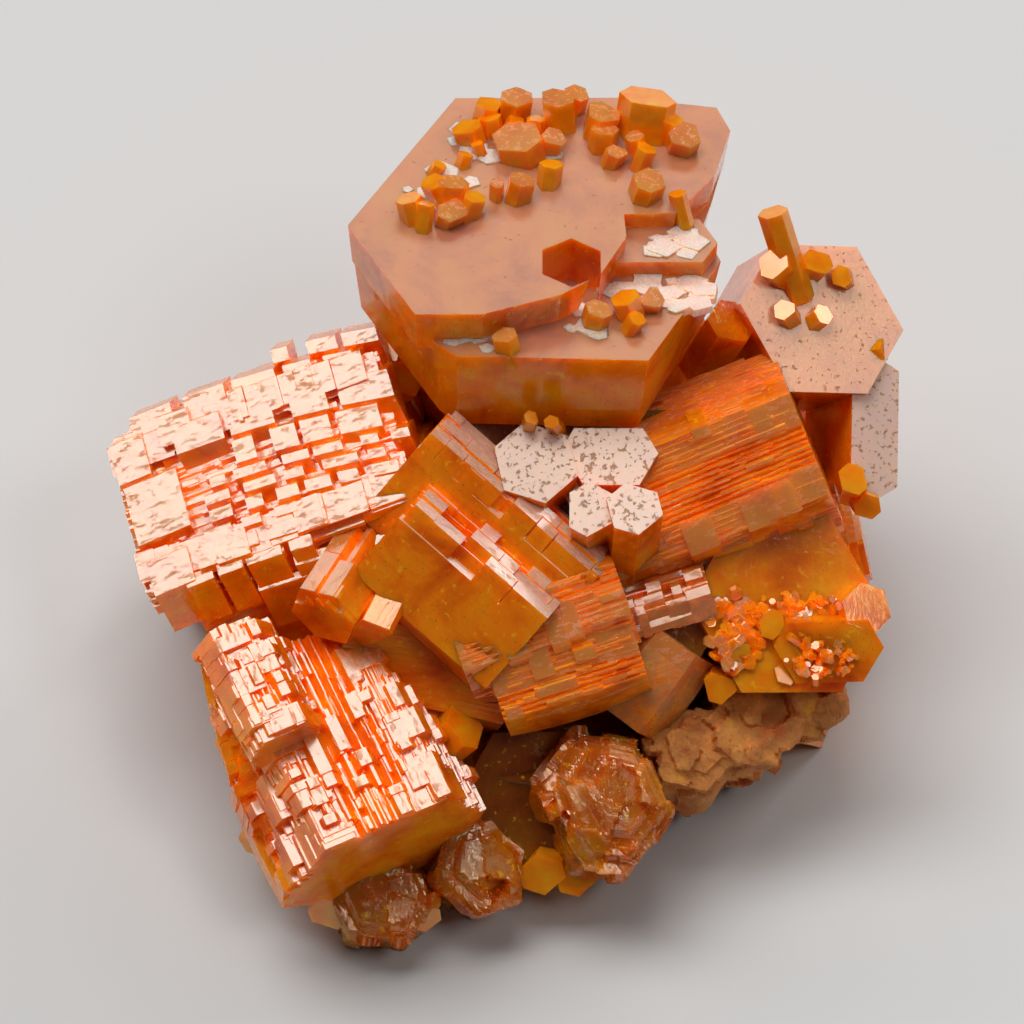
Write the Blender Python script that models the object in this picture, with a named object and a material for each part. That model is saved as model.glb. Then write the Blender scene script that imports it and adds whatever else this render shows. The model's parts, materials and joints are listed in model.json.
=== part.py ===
"""Mimetite: orange six-sided crystals grown together in one cluster, which rests on its flat, cut underside.

Lengths are in millimetres. The display frame has u to the right, v up and w out towards someone who looks at
the display side, from its middle. The cluster leans back from there until its underside is level.
"""

import math
import random

import bmesh
import bpy
from mathutils import Matrix, Vector

MM = 0.001
NODE = "mimetite_cluster"
LOOK_DOWN = math.radians(55)  # the display side is looked down on at this angle
UNDERSIDE = -12.6  # the level of the underside, from the middle of the display side
FOOTPRINT_MIDDLE = (0.0, 0.5)  # X and Y of the middle of the box, from the middle of the display side
SIXTH = math.radians(60)
ACROSS = (1.0, 0.0, 0.0)
FAR = 80.0
ORANGE = (0.60, 0.17, 0.015, 1.0)
SEED = 7

# A crystal has: end, the middle of its outer end; out, where that end looks; face, where its side 0 looks;
# flats, from its axis to its six sides; length; bulge, the share by which its ends are drawn in; and mosaic,
# the rows across and the blocks along a side that carries raised blocks. Terraces are steps on its end, each
# with its scale and its rise.

FRONT = {
    "left_barrel": {
        "end": (-15.9, -2.2, -4.0),
        "out": (-0.93, -0.33, -0.15),
        "face": (-0.20, 0.33, 0.92),
        "flats": (6.4, 6.8, 6.0, 6.0, 1.6, 6.3),
        "length": 13.3,
        "bulge": 0.07,
        "mosaic": {0: (6, 5), 1: (2, 3)},
    },
    "left_barrel_low": {
        "end": (-13.2, -4.9, -3.4),
        "out": (-0.90, -0.40, -0.15),
        "face": (-0.20, 0.33, 0.92),
        "flats": (5.0, 4.4, 5.0, 5.0, 3.6, 4.0),
        "length": 12.5,
        "bulge": 0.04,
        "mosaic": {0: (3, 4)},
    },
    "middle_upper": {
        "end": (-4.0, 3.0, 1.5),
        "out": (-0.755, 0.656, 0.0),
        "face": (-0.18, -0.24, 0.95),
        "flats": (3.6, 3.6, 1.8, 4.0, 5.0, 4.5),
        "length": 10.0,
        "bulge": 0.0,
        "mosaic": {1: (2, 6)},
    },
    "middle_lower": {
        "end": (-4.6, 0.05, 1.6),
        "out": (-0.755, 0.656, 0.0),
        "face": (-0.18, -0.24, 0.95),
        "flats": (4.5, 4.0, 1.3, 4.0, 5.0, 4.2),
        "length": 8.0,
        "bulge": 0.0,
        "mosaic": {1: (2, 6)},
    },
    "middle_under": {
        "end": (-7.6, -5.0, -0.4),
        "out": (-0.97, 0.20, 0.1),
        "face": (0.0, -0.30, 0.95),
        "flats": (4.0, 3.6, 3.6, 3.6, 3.6, 3.6),
        "length": 8.0,
        "bulge": 0.0,
        "mosaic": {},
    },
    "small_left": {
        "end": (-8.2, -4.7, 5.0),
        "out": (-0.45, -0.72, 0.53),
        "face": (-0.24, 0.67, 0.71),
        "flats": (1.5, 1.5, 1.5, 1.5, 1.4, 1.5),
        "length": 6.5,
        "bulge": 0.0,
        "mosaic": {0: (2, 2)},
    },
    "small_wedge": {
        "end": (-6.1, -5.4, 4.8),
        "out": (-0.40, -0.80, 0.45),
        "face": (-0.80, 0.55, 0.30),
        "flats": (0.9, 1.2, 1.4, 0.5, 1.4, 1.2),
        "length": 5.0,
        "bulge": 0.0,
        "mosaic": {},
    },
    "fluted_barrel": {
        "end": (-5.0, -15.2, 3.6),
        "out": (0.42, -0.82, 0.38),
        "face": (0.0, 0.42, 0.90),
        "flats": (3.8, 4.9, 4.6, 3.8, 4.3, 4.4),
        "length": 10.0,
        "bulge": 0.06,
        "mosaic": {0: (5, 5), 1: (3, 4), 5: (2, 4)},
    },
    "fluted_upper_lobe": {
        "end": (-9.9, -10.5, 5.6),
        "out": (0.42, -0.82, 0.38),
        "face": (0.0, 0.42, 0.90),
        "flats": (1.9, 1.9, 1.9, 1.9, 1.9, 1.9),
        "length": 6.0,
        "bulge": 0.15,
        "mosaic": {0: (3, 3)},
    },
    "fluted_side_lobe": {
        "end": (-10.6, -12.9, 2.4),
        "out": (0.28, -0.87, 0.38),
        "face": (-0.45, 0.18, 0.87),
        "flats": (1.7, 1.7, 1.7, 1.7, 1.7, 1.7),
        "length": 7.2,
        "bulge": 0.12,
        "mosaic": {0: (2, 5)},
    },
    "fluted_low_lobe": {
        "end": (-8.6, -17.0, 3.6),
        "out": (0.42, -0.82, 0.38),
        "face": (-0.35, 0.22, 0.91),
        "flats": (1.7, 1.7, 1.7, 1.7, 1.7, 1.7),
        "length": 6.0,
        "bulge": 0.08,
        "mosaic": {0: (2, 4)},
    },
    "right_barrel": {
        "end": (14.0, 3.6, 0.6),
        "out": (0.927, 0.375, 0.08),
        "face": (-0.05, -0.09, 0.99),
        "flats": (4.1, 4.3, 3.8, 3.8, 3.8, 4.3),
        "length": 11.0,
        "bulge": 0.06,
        "mosaic": {0: (4, 3), 1: (2, 4)},
    },
    "heart": {
        "end": (3.0, -2.0, 2.4),
        "out": (0.0, 0.0, 1.0),
        "face": (0.0, 1.0, 0.0),
        "flats": (6.8, 7.6, 7.2, 6.6, 7.4, 7.6),
        "length": 13.0,
        "bulge": 0.0,
        "mosaic": {},
    },
    "right_plate": {
        "end": (14.5, 9.2, 1.5),
        "out": (0.20, 0.10, 0.97),
        "face": (0.0, 0.99, -0.1),
        "flats": (3.2, 3.5, 3.1, 3.6, 3.7, 3.1),
        "length": 7.0,
        "bulge": 0.0,
        "mosaic": {},
    },
    "right_pitted_plate": {
        "end": (17.1, 3.9, 0.8),
        "out": (0.25, -0.05, 0.97),
        "face": (0.97, 0.0, -0.25),
        "flats": (1.05, 2.9, 2.6, 1.2, 2.8, 2.8),
        "length": 7.0,
        "bulge": 0.0,
        "mosaic": {},
    },
    "right_link": {
        "end": (10.4, 8.9, 1.4),
        "out": (0.3, 0.5, 0.8),
        "face": (0.0, 0.85, -0.5),
        "flats": (1.1, 1.0, 1.1, 1.0, 1.1, 1.0),
        "length": 4.0,
        "bulge": 0.0,
        "mosaic": {},
    },
    "low_right_druse": {
        "end": (13.3, -3.9, 2.6),
        "out": (0.13, 0.02, 0.99),
        "face": (0.0, 1.0, 0.0),
        "flats": (3.9, 4.3, 4.3, 4.2, 3.9, 3.3),
        "length": 9.0,
        "bulge": 0.0,
        "mosaic": {},
    },
    "low_right_plate": {
        "end": (14.7, -6.0, 3.3),
        "out": (0.1, -0.25, 0.96),
        "face": (0.0, 0.97, 0.25),
        "flats": (1.2, 2.2, 2.1, 1.7, 2.3, 2.2),
        "length": 4.0,
        "bulge": 0.0,
        "mosaic": {},
    },
    "low_right_corner": {
        "end": (16.5, -4.2, 3.2),
        "out": (0.25, 0.1, 0.96),
        "face": (0.3, 0.95, 0.0),
        "flats": (1.0, 1.0, 1.1, 1.0, 1.1, 1.0),
        "length": 5.0,
        "bulge": 0.0,
        "mosaic": {},
    },
    "front_barrel_upper": {
        "end": (5.4, -3.4, 3.4),
        "out": (0.94, 0.33, 0.02),
        "face": (-0.05, 0.10, 0.99),
        "flats": (2.4, 2.4, 2.3, 2.3, 2.3, 2.2),
        "length": 8.0,
        "bulge": 0.06,
        "mosaic": {0: (3, 4)},
    },
    "front_barrel_lower": {
        "end": (6.0, -5.7, 3.0),
        "out": (0.95, 0.30, 0.02),
        "face": (0.02, -0.15, 0.99),
        "flats": (2.4, 2.4, 2.3, 2.3, 2.1, 2.4),
        "length": 6.8,
        "bulge": 0.08,
        "mosaic": {0: (3, 3)},
    },
    "right_inner_barrel": {
        "end": (9.3, -3.2, 2.9),
        "out": (0.95, 0.30, 0.05),
        "face": (-0.10, 0.30, 0.95),
        "flats": (1.2, 1.3, 1.2, 1.2, 1.1, 1.1),
        "length": 5.5,
        "bulge": 0.08,
        "mosaic": {0: (2, 3)},
    },
    "right_inner_stub": {
        "end": (8.0, -5.7, 1.5),
        "out": (0.60, 0.80, 0.10),
        "face": (-0.08, -0.07, 0.99),
        "flats": (1.9, 1.9, 1.9, 1.9, 1.9, 1.9),
        "length": 4.4,
        "bulge": 0.08,
        "mosaic": {},
    },
    "pale_plate_left": {
        "end": (1.3, 2.4, 5.0),
        "out": (0.05, 0.32, 0.95),
        "face": (0.3, 0.9, -0.3),
        "flats": (1.7, 1.7, 1.6, 1.7, 1.8, 1.8),
        "length": 6.0,
        "bulge": 0.0,
        "mosaic": {},
    },
    "pale_plate_right": {
        "end": (4.7, 2.7, 4.6),
        "out": (0.0, 0.30, 0.95),
        "face": (0.0, 0.95, -0.3),
        "flats": (1.3, 2.0, 1.7, 1.4, 1.9, 2.0),
        "length": 6.0,
        "bulge": 0.0,
        "mosaic": {},
    },
    "pale_column_left": {
        "end": (3.8, 0.3, 6.4),
        "out": (-0.05, 0.30, 0.95),
        "face": (0.5, 0.8, -0.25),
        "flats": (1.1, 1.1, 0.9, 1.2, 1.1, 1.0),
        "length": 7.0,
        "bulge": 0.0,
        "mosaic": {},
    },
    "pale_column_right": {
        "end": (5.8, 0.3, 6.8),
        "out": (0.03, 0.45, 0.89),
        "face": (0.3, 0.85, -0.44),
        "flats": (1.1, 1.2, 1.1, 1.2, 1.1, 1.2),
        "length": 7.0,
        "bulge": 0.0,
        "mosaic": {},
    },
    "low_rough_crystal": {
        "end": (4.7, -13.0, 3.2),
        "out": (0.15, 0.05, 0.98),
        "face": (0.1, 1.0, 0.0),
        "flats": (3.0, 2.9, 2.5, 3.4, 2.8, 2.5),
        "length": 7.0,
        "bulge": 0.0,
        "mosaic": {},
        "terraces": ((0.8, 0.5), (0.55, 0.9)),
    },
    "low_left_rough_crystal": {
        "end": (-5.6, -17.5, 1.4),
        "out": (0.05, 0.2, 0.97),
        "face": (0.1, 1.0, -0.2),
        "flats": (2.0, 2.2, 2.2, 1.9, 2.0, 2.0),
        "length": 5.0,
        "bulge": 0.0,
        "mosaic": {},
        "terraces": ((0.75, 0.4),),
    },
    "low_middle_crystal": {
        "end": (-1.0, -16.2, 1.2),
        "out": (0.2, 0.1, 0.96),
        "face": (-0.3, 0.95, 0.0),
        "flats": (2.0, 2.0, 1.8, 1.9, 1.9, 2.0),
        "length": 5.0,
        "bulge": 0.0,
        "mosaic": {},
        "terraces": ((0.7, 0.4),),
    },
    "recess_crystal": {
        "end": (1.2, -13.0, 0.2),
        "out": (0.1, -0.1, 0.98),
        "face": (0.0, 1.0, 0.1),
        "flats": (3.0, 3.0, 3.0, 3.0, 3.0, 3.0),
        "length": 6.0,
        "bulge": 0.0,
        "mosaic": {},
    },
    "coated_crystal": {
        "end": (8.6, -10.6, 1.6),
        "out": (0.1, 0.25, 0.96),
        "face": (0.2, 0.95, -0.25),
        "flats": (1.9, 2.0, 1.9, 2.0, 1.9, 1.9),
        "length": 6.0,
        "bulge": 0.0,
        "mosaic": {},
        "terraces": ((0.7, 0.4),),
    },
    "coated_ledge": {
        "end": (11.6, -9.3, 1.2),
        "out": (0.2, 0.2, 0.95),
        "face": (0.0, 0.98, -0.2),
        "flats": (1.9, 2.0, 2.0, 2.2, 2.0, 2.0),
        "length": 7.0,
        "bulge": 0.0,
        "mosaic": {},
    },
    "yellow_ledge": {
        "end": (14.1, -8.6, 0.4),
        "out": (0.3, 0.1, 0.95),
        "face": (0.2, 0.98, -0.2),
        "flats": (1.6, 1.7, 1.7, 1.6, 1.7, 1.6),
        "length": 7.0,
        "bulge": 0.0,
        "mosaic": {},
        "terraces": ((0.7, 0.4),),
    },
}

# These stand round the back and the sides. Their places are level: X to the right, Y to the back and Z up,
# from the point of the underside below the middle of the display side.

AROUND = {
    "trunk": {
        "end": (1.5, 8.9, 19.0),
        "out": (0.03, 0.05, 1.0),
        "face": (0.0, 1.0, 0.0),
        "flats": (5.5, 5.6, 5.3, 5.4, 5.6, 5.5),
        "length": 19.5,
        "bulge": 0.0,
        "mosaic": {0: (4, 5), 1: (3, 4), 5: (3, 4)},
    },
    "root": {
        "end": (1.0, -0.4, 7.0),
        "out": (0.0, -0.1, 1.0),
        "face": (0.1, 1.0, 0.0),
        "flats": (12.0, 11.5, 11.0, 10.0, 9.8, 12.5),
        "length": 7.5,
        "bulge": 0.0,
        "mosaic": {},
    },
    "back_left_barrel": {
        "end": (-9.5, 8.7, 6.6),
        "out": (-0.72, 0.66, 0.20),
        "face": (0.12, -0.15, 0.98),
        "flats": (3.9, 4.1, 3.7, 3.6, 3.9, 4.0),
        "length": 12.0,
        "bulge": 0.08,
        "mosaic": {0: (4, 5), 1: (3, 4), 5: (3, 4)},
        "terraces": ((0.78, 0.35), (0.5, 0.6)),
    },
    "back_barrel": {
        "end": (2.0, 16.7, 8.0),
        "out": (0.12, 0.96, 0.22),
        "face": (0.25, -0.2, 0.95),
        "flats": (4.6, 4.4, 4.5, 4.2, 4.6, 4.4),
        "length": 14.0,
        "bulge": 0.07,
        "mosaic": {0: (4, 5), 1: (4, 4), 5: (3, 4)},
        "terraces": ((0.8, 0.4), (0.55, 0.75)),
    },
    "back_right_barrel": {
        "end": (13.3, 10.9, 6.4),
        "out": (0.74, 0.64, 0.16),
        "face": (-0.1, -0.1, 0.98),
        "flats": (4.0, 3.8, 3.7, 3.9, 4.0, 3.8),
        "length": 12.0,
        "bulge": 0.08,
        "mosaic": {0: (4, 4), 1: (3, 4), 5: (3, 3)},
        "terraces": ((0.75, 0.4),),
    },
    "right_side_barrel": {
        "end": (16.7, 2.7, 5.0),
        "out": (0.96, 0.10, 0.20),
        "face": (-0.2, 0.1, 0.97),
        "flats": (3.4, 3.3, 3.5, 3.3, 3.2, 3.4),
        "length": 10.0,
        "bulge": 0.08,
        "mosaic": {0: (3, 4), 5: (3, 3)},
        "terraces": ((0.78, 0.35), (0.45, 0.6)),
    },
    "left_side_barrel": {
        "end": (-15.1, 4.7, 3.6),
        "out": (-0.94, 0.30, 0.05),
        "face": (0.05, 0.1, 0.99),
        "flats": (3.0, 2.9, 3.0, 3.0, 2.9, 3.1),
        "length": 9.0,
        "bulge": 0.08,
        "mosaic": {0: (3, 3), 1: (2, 3), 5: (2, 3)},
        "terraces": ((0.7, 0.4),),
    },
    "back_left_low": {
        "end": (-7.7, 12.3, 2.4),
        "out": (-0.45, 0.88, 0.05),
        "face": (0.1, -0.1, 0.99),
        "flats": (2.4, 2.5, 2.6, 2.4, 2.5, 2.4),
        "length": 8.0,
        "bulge": 0.0,
        "mosaic": {0: (2, 3)},
    },
    "back_right_low": {
        "end": (8.7, 15.1, 2.8),
        "out": (0.36, 0.93, 0.05),
        "face": (-0.1, 0.0, 0.99),
        "flats": (2.6, 2.5, 2.6, 2.4, 2.5, 2.6),
        "length": 9.0,
        "bulge": 0.0,
        "mosaic": {0: (2, 4)},
        "terraces": ((0.75, 0.3),),
    },
    "back_upright": {
        "end": (-3.1, 11.7, 14.6),
        "out": (-0.15, 0.30, 0.94),
        "face": (0.1, 0.95, -0.3),
        "flats": (2.4, 2.2, 2.3, 2.4, 2.2, 2.3),
        "length": 12.0,
        "bulge": 0.0,
        "mosaic": {},
    },
    "back_right_upright": {
        "end": (7.3, 11.3, 13.6),
        "out": (0.25, 0.35, 0.90),
        "face": (0.3, 0.9, -0.4),
        "flats": (2.0, 2.1, 2.0, 1.9, 2.0, 2.1),
        "length": 11.0,
        "bulge": 0.0,
        "mosaic": {},
    },
    "left_front_low": {
        "end": (-11.1, -4.1, 2.6),
        "out": (-0.93, -0.35, 0.10),
        "face": (0.0, 0.1, 0.99),
        "flats": (2.4, 2.4, 2.3, 2.4, 2.4, 2.3),
        "length": 8.0,
        "bulge": 0.0,
        "mosaic": {},
    },
    "right_front_low": {
        "end": (15.1, -3.5, 2.6),
        "out": (0.93, -0.30, 0.15),
        "face": (-0.1, 0.0, 0.98),
        "flats": (2.6, 2.5, 2.4, 2.5, 2.6, 2.5),
        "length": 8.0,
        "bulge": 0.0,
        "mosaic": {},
    },
}

# Small crystals of the display side: the middle of the end, the way it looks, across the flats, and length.

SMALL = (
    ((12.2, 13.8, 3.4), (-0.30, 0.85, 0.45), 1.2, 4.6),
    ((12.3, 11.5, 2.9), (-0.4, 0.3, 0.9), 1.4, 2.4),
    ((14.3, 11.6, 2.2), (0.3, 0.3, 0.9), 1.2, 2.0),
    ((15.4, 10.9, 1.9), (-0.2, 0.1, 0.95), 1.0, 1.6),
    ((12.7, 9.4, 2.6), (-0.3, 0.4, 0.9), 1.0, 1.8),
    ((14.6, 9.2, 2.1), (0.5, 0.4, 0.8), 0.9, 1.6),
    ((17.5, 7.6, 0.9), (0.9, 0.1, 0.4), 0.9, 2.4),
    ((16.7, 0.4, 1.0), (0.2, -0.4, 0.9), 1.2, 3.0),
    ((15.9, 1.6, 1.8), (0.0, 0.2, 0.98), 1.3, 3.0),
    ((-11.8, -14.1, 0.6), (-0.8, 0.1, 0.6), 1.6, 3.0),
    ((-11.7, -15.1, -0.4), (-0.6, -0.5, 0.6), 1.5, 3.0),
    ((-8.1, -18.3, 1.0), (-0.2, -0.5, 0.85), 1.8, 3.0),
    ((-3.6, -18.6, 0.4), (0.3, -0.5, 0.8), 1.4, 3.0),
    ((1.7, -16.5, 0.6), (-0.2, -0.3, 0.9), 1.9, 3.0),
    ((3.4, -16.7, 0.4), (0.2, -0.3, 0.9), 1.8, 3.0),
    ((-6.0, 7.4, -2.2), (-0.3, 0.6, 0.7), 2.6, 4.0),
    ((-4.6, 6.4, -1.2), (0.5, 0.4, 0.7), 1.8, 4.0),
    ((12.2, -5.0, 3.4), (-0.2, 0.1, 0.97), 1.2, 2.0),
    ((10.6, -6.4, 3.2), (0.1, -0.2, 0.97), 1.1, 2.0),
    ((12.9, -7.2, 2.9), (0.2, 0.2, 0.95), 1.0, 2.0),
    ((9.8, -7.9, 2.7), (-0.1, -0.2, 0.97), 1.4, 2.4),
    ((-1.8, -9.6, 2.6), (0.6, 0.5, 0.6), 2.2, 5.0),
    ((1.2, 4.4, 5.6), (0.1, 0.3, 0.9), 0.6, 1.6),
    ((2.1, 4.2, 5.6), (-0.2, 0.2, 0.9), 0.7, 1.6),
)

SMALL_FACE = (0.3, 1.0, 0.1)  # where a side of each of them looks

# The tabular crystal at the top stands almost upright on its prism sides. Its outlines run round its axis, as
# across and back, and each lies between two depths below the upper face.

TABLE_MIDDLE = (1.6, 13.9, 4.0)
TABLE_OUT = (0.035, 0.652, 0.758)
TABLE_UPPER = (
    (-8.7, -1.3),
    (-5.6, -6.7),
    (-2.6, -6.6),
    (0.9, -5.3),
    (2.7, -4.0),
    (3.9, -1.6),
    (3.8, -0.2),
    (6.2, 0.0),
    (8.0, 2.4),
    (8.8, 5.3),
    (8.2, 6.8),
    (3.9, 7.3),
    (-3.9, 7.0),
)
TABLE_MIDDLE_STEP = ((2.6, -2.4), (7.4, -2.2), (8.1, -1.0), (7.3, 0.5), (2.6, 0.3))
TABLE_LOWER = (
    (-8.45, -1.4),
    (-4.6, -6.8),
    (-3.7, -7.5),
    (4.9, -7.5),
    (8.3, -1.3),
    (7.5, 0.8),
    (8.0, 2.5),
    (8.6, 5.2),
    (8.2, 6.8),
    (3.9, 7.2),
    (-3.9, 6.9),
)
TABLE_STEP = 1.8
TABLE_DEPTH = 5.1
TABLE_TILT = 0.22  # how much deeper the underside lies towards the front
TABLE_TAPER = 0.95
TABLE_UPPER_TAPER = 0.975
TABLE_MIDDLE_STEP_DEPTH = 0.9
STEP_ROOT = 0.6  # each step reaches this far into the one below
PIT_MIDDLE = (1.4, -3.3)
PIT_RADIUS = 1.4
PIT_DEPTH = 2.6
PIT_TAPER = 0.9
PIT_CUTTER_TOP = 4.0

# Small crystals on the table: across, back, height above its face, across their flats, and lean.

TABLE_SMALL = (
    (-6.0, -0.4, 0.9, 1.1, (-0.3, 0.4)),
    (-3.9, 0.4, 1.2, 1.3, (0.1, 0.3)),
    (-4.0, -1.0, 0.8, 1.2, (0.2, -0.2)),
    (-2.0, 0.7, 0.9, 0.7, (0.0, 0.1)),
    (-0.9, 0.9, 1.0, 1.2, (0.2, 0.2)),
    (0.5, 2.0, 0.9, 1.0, (0.1, 0.4)),
    (-1.2, 3.6, 0.9, 1.6, (-0.2, 0.1)),
    (0.6, 3.8, 0.9, 1.1, (0.3, 0.0)),
    (-3.4, 4.5, 0.7, 1.2, (-0.3, 0.2)),
    (-2.4, 5.8, 0.9, 1.2, (0.2, 0.3)),
    (-1.0, 6.0, 1.2, 1.4, (0.1, 0.1)),
    (0.8, 5.9, 1.3, 1.7, (-0.1, 0.3)),
    (2.9, 5.3, 1.0, 1.6, (0.2, 0.2)),
    (5.0, 5.9, 1.5, 2.2, (0.1, 0.4)),
    (3.5, 3.1, 0.7, 0.9, (0.3, 0.1)),
    (4.3, 3.9, 0.9, 0.9, (-0.2, 0.2)),
    (6.6, 4.0, 1.0, 1.4, (0.1, -0.2)),
    (5.0, 1.2, 0.8, 1.5, (0.2, 0.1)),
    (2.6, -5.3, -0.9, 1.1, (0.2, 0.1)),
    (3.8, -4.6, -0.9, 1.2, (-0.3, 0.2)),
    (5.1, -4.4, -1.0, 1.0, (0.1, -0.3)),
    (4.4, -5.6, -1.1, 0.9, (0.4, 0.1)),
    (-1.6, -6.9, -1.0, 1.0, (-0.2, 0.1)),
)
BLOCK_RISE = (0.12, 0.42)  # how far a block of the mosaic stands above its side
BLOCK_ROOT = 1.0  # and how far it reaches below it
BLOCK_ACROSS = (0.72, 0.98)  # as a share of its row
BLOCK_ALONG = (0.55, 0.9)  # as a share of the even spacing along the crystal
ROW_START = 0.35  # how unevenly the rows start, in blocks
BLOCK_START = 0.2
LAST_BLOCK = 0.97  # no block starts beyond this share of the crystal's length
ON_SIDE = 0.0001  # a corner this near to a side is on it
TERRACE_ROOT = 1.0
TERRACE_TAPER = 0.96
TERRACE_SHIFT = (0.1, -0.3)  # how far off the middle a terrace lies, as shares of its side's distance
LEAN_SHARE = 0.4
SMALL_LEAST = 0.9  # the least length of a small crystal's upper part
SMALL_ROOT = 0.8  # a small crystal reaches this far below the face that it stands on
UNEVEN = (1.0, 0.85, 1.1, 0.95, 0.9, 1.05)  # the shares by which its six sides differ


def oriented(middle, out, face):
    """A matrix with Z along out and X along face, as nearly as that is square to out."""
    along = Vector(out).normalized()
    first = Vector(face)
    first = (first - first.dot(along) * along).normalized()
    matrix = Matrix((first, along.cross(first), along)).transposed().to_4x4()
    matrix.translation = Vector(middle)
    return matrix


def display_to_rest():
    """Leans the display frame back and sets the underside at Z = 0, with the box's middle at X = Y = 0."""
    across = Vector((1, 0, 0))
    up = Vector((0, math.sin(LOOK_DOWN), math.cos(LOOK_DOWN)))
    matrix = Matrix((across, up, across.cross(up))).transposed().to_4x4()
    matrix.translation = Vector((-FOOTPRINT_MIDDLE[0], -FOOTPRINT_MIDDLE[1], -UNDERSIDE))
    return matrix


def six_sided(flats):
    """The corners of the outline whose side k lies flats[k] from the middle, turned k sixths from X."""
    outline = [Vector((-FAR, -FAR)), Vector((FAR, -FAR)), Vector((FAR, FAR)), Vector((-FAR, FAR))]
    for k, distance in enumerate(flats):
        normal = Vector((math.cos(k * SIXTH), math.sin(k * SIXTH)))
        kept = []
        for here, there in zip(outline, outline[1:] + outline[:1]):
            inside = distance - here.dot(normal)
            next_inside = distance - there.dot(normal)
            if inside >= 0:
                kept.append(here)
            if inside * next_inside < 0:
                kept.append(here.lerp(there, inside / (inside - next_inside)))
        outline = kept
    return outline


def lofted(name, matrix, outline, stations, group, tilt=0.0):
    """A closed solid through copies of the outline, each at a station's height and scale, bottom to top.

    The bottom one is tilted, so that it rises by tilt along Y.
    """
    shape = bmesh.new()
    rings = []
    for height, scale in stations:
        rise = 0.0 if rings else tilt
        rings.append([shape.verts.new((x * scale, y * scale, height + rise * y)) for x, y in outline])
    shape.faces.new(list(reversed(rings[0])))
    shape.faces.new(rings[-1])
    for low, high in zip(rings, rings[1:]):
        for i, corner in enumerate(low):
            j = (i + 1) % len(low)
            shape.faces.new((corner, low[j], high[j], high[i]))
    shape.transform(matrix)
    shape.transform(Matrix.Scale(MM, 4))
    mesh = bpy.data.meshes.new(name)
    shape.to_mesh(mesh)
    shape.free()
    solid = bpy.data.objects.new(name, mesh)
    solid.hide_render = True
    solid.display_type = "WIRE"
    group.objects.link(solid)
    return solid


def barrel_scale(share, bulge):
    return 1 - bulge * (2 * share - 1) ** 2


def add_crystal(name, crystal, frame, group, chance):
    """One crystal, from its outer end inwards, with the raised blocks on its mosaic sides."""
    matrix = frame @ oriented(crystal["end"], crystal["out"], crystal["face"])
    flats = crystal["flats"]
    length = crystal["length"]
    bulge = crystal["bulge"]
    shares = (1.0, 0.7, 0.3, 0.0) if bulge else (1.0, 0.0)
    stations = [(-length * share, barrel_scale(share, bulge)) for share in shares]
    outline = six_sided(flats)
    lofted(name, matrix, outline, stations, group)
    for scale, rise in crystal.get("terraces", ()):
        inset = 1 - scale
        offset = (TERRACE_SHIFT[0] * flats[0] * inset, TERRACE_SHIFT[1] * flats[1] * inset, 0.0)
        stations = ((-TERRACE_ROOT, scale), (rise, TERRACE_TAPER * scale))
        lofted(f"{name}_terrace", matrix @ Matrix.Translation(offset), outline, stations, group)
    for side, (rows, blocks) in crystal["mosaic"].items():
        turned = matrix @ Matrix.Rotation(side * SIXTH, 4, "Z")
        normal = Vector((math.cos(side * SIXTH), math.sin(side * SIXTH)))
        across = Vector((-normal.y, normal.x))
        reach = [corner.dot(across) for corner in outline if corner.dot(normal) > flats[side] - ON_SIDE]
        low, high = min(reach), max(reach)
        width = (high - low) / rows
        for row in range(rows):
            start = chance.uniform(0.0, ROW_START)
            for block in range(blocks):
                share = (block + start + chance.uniform(0.0, BLOCK_START)) / blocks
                if share > LAST_BLOCK:
                    continue
                near = length * share
                deep = min(near + chance.uniform(*BLOCK_ALONG) * length / blocks, length)
                foot = flats[side] * barrel_scale(0.5 * (near + deep) / length, bulge)
                top = foot + chance.uniform(*BLOCK_RISE)
                middle = low + (row + 0.5) * width
                half = 0.5 * width * chance.uniform(*BLOCK_ACROSS)
                corners = (
                    (foot - BLOCK_ROOT, middle - half),
                    (top, middle - half),
                    (top, middle + half),
                    (foot - BLOCK_ROOT, middle + half),
                )
                stations = ((-deep, 1.0), (-near, 1.0))
                lofted(f"{name}_block", turned, corners, stations, group)


def add_small(matrix, across, length, group):
    """A small crystal that ends in the matrix's XY plane, and reaches down by its length."""
    flats = [0.5 * across * share for share in UNEVEN]
    lofted("small", matrix, six_sided(flats), ((-length, 1.0), (0.0, 1.0)), group)


def add_table(frame, group):
    """The tabular crystal, in three steps, with the small crystals that grew on it."""
    matrix = frame @ oriented(TABLE_MIDDLE, TABLE_OUT, ACROSS)
    step_root = -TABLE_STEP - STEP_ROOT
    lofted("table_upper", matrix, TABLE_UPPER, ((step_root, TABLE_UPPER_TAPER), (0.0, 1.0)), group)
    stations = ((step_root, 1.0), (-TABLE_MIDDLE_STEP_DEPTH, 1.0))
    lofted("table_middle", matrix, TABLE_MIDDLE_STEP, stations, group)
    stations = ((-TABLE_DEPTH, TABLE_TAPER), (-TABLE_STEP, 1.0))
    lofted("table_lower", matrix, TABLE_LOWER, stations, group, TABLE_TILT)
    for across, back, height, flat, lean in TABLE_SMALL:
        out = (LEAN_SHARE * lean[0], LEAN_SHARE * lean[1], 1.0)
        place = oriented((across, back, height), out, (lean[1], lean[0] + 0.1, 0.0))
        length = SMALL_ROOT + max(height, SMALL_LEAST)
        add_small(matrix @ place, flat, length, group)


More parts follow.
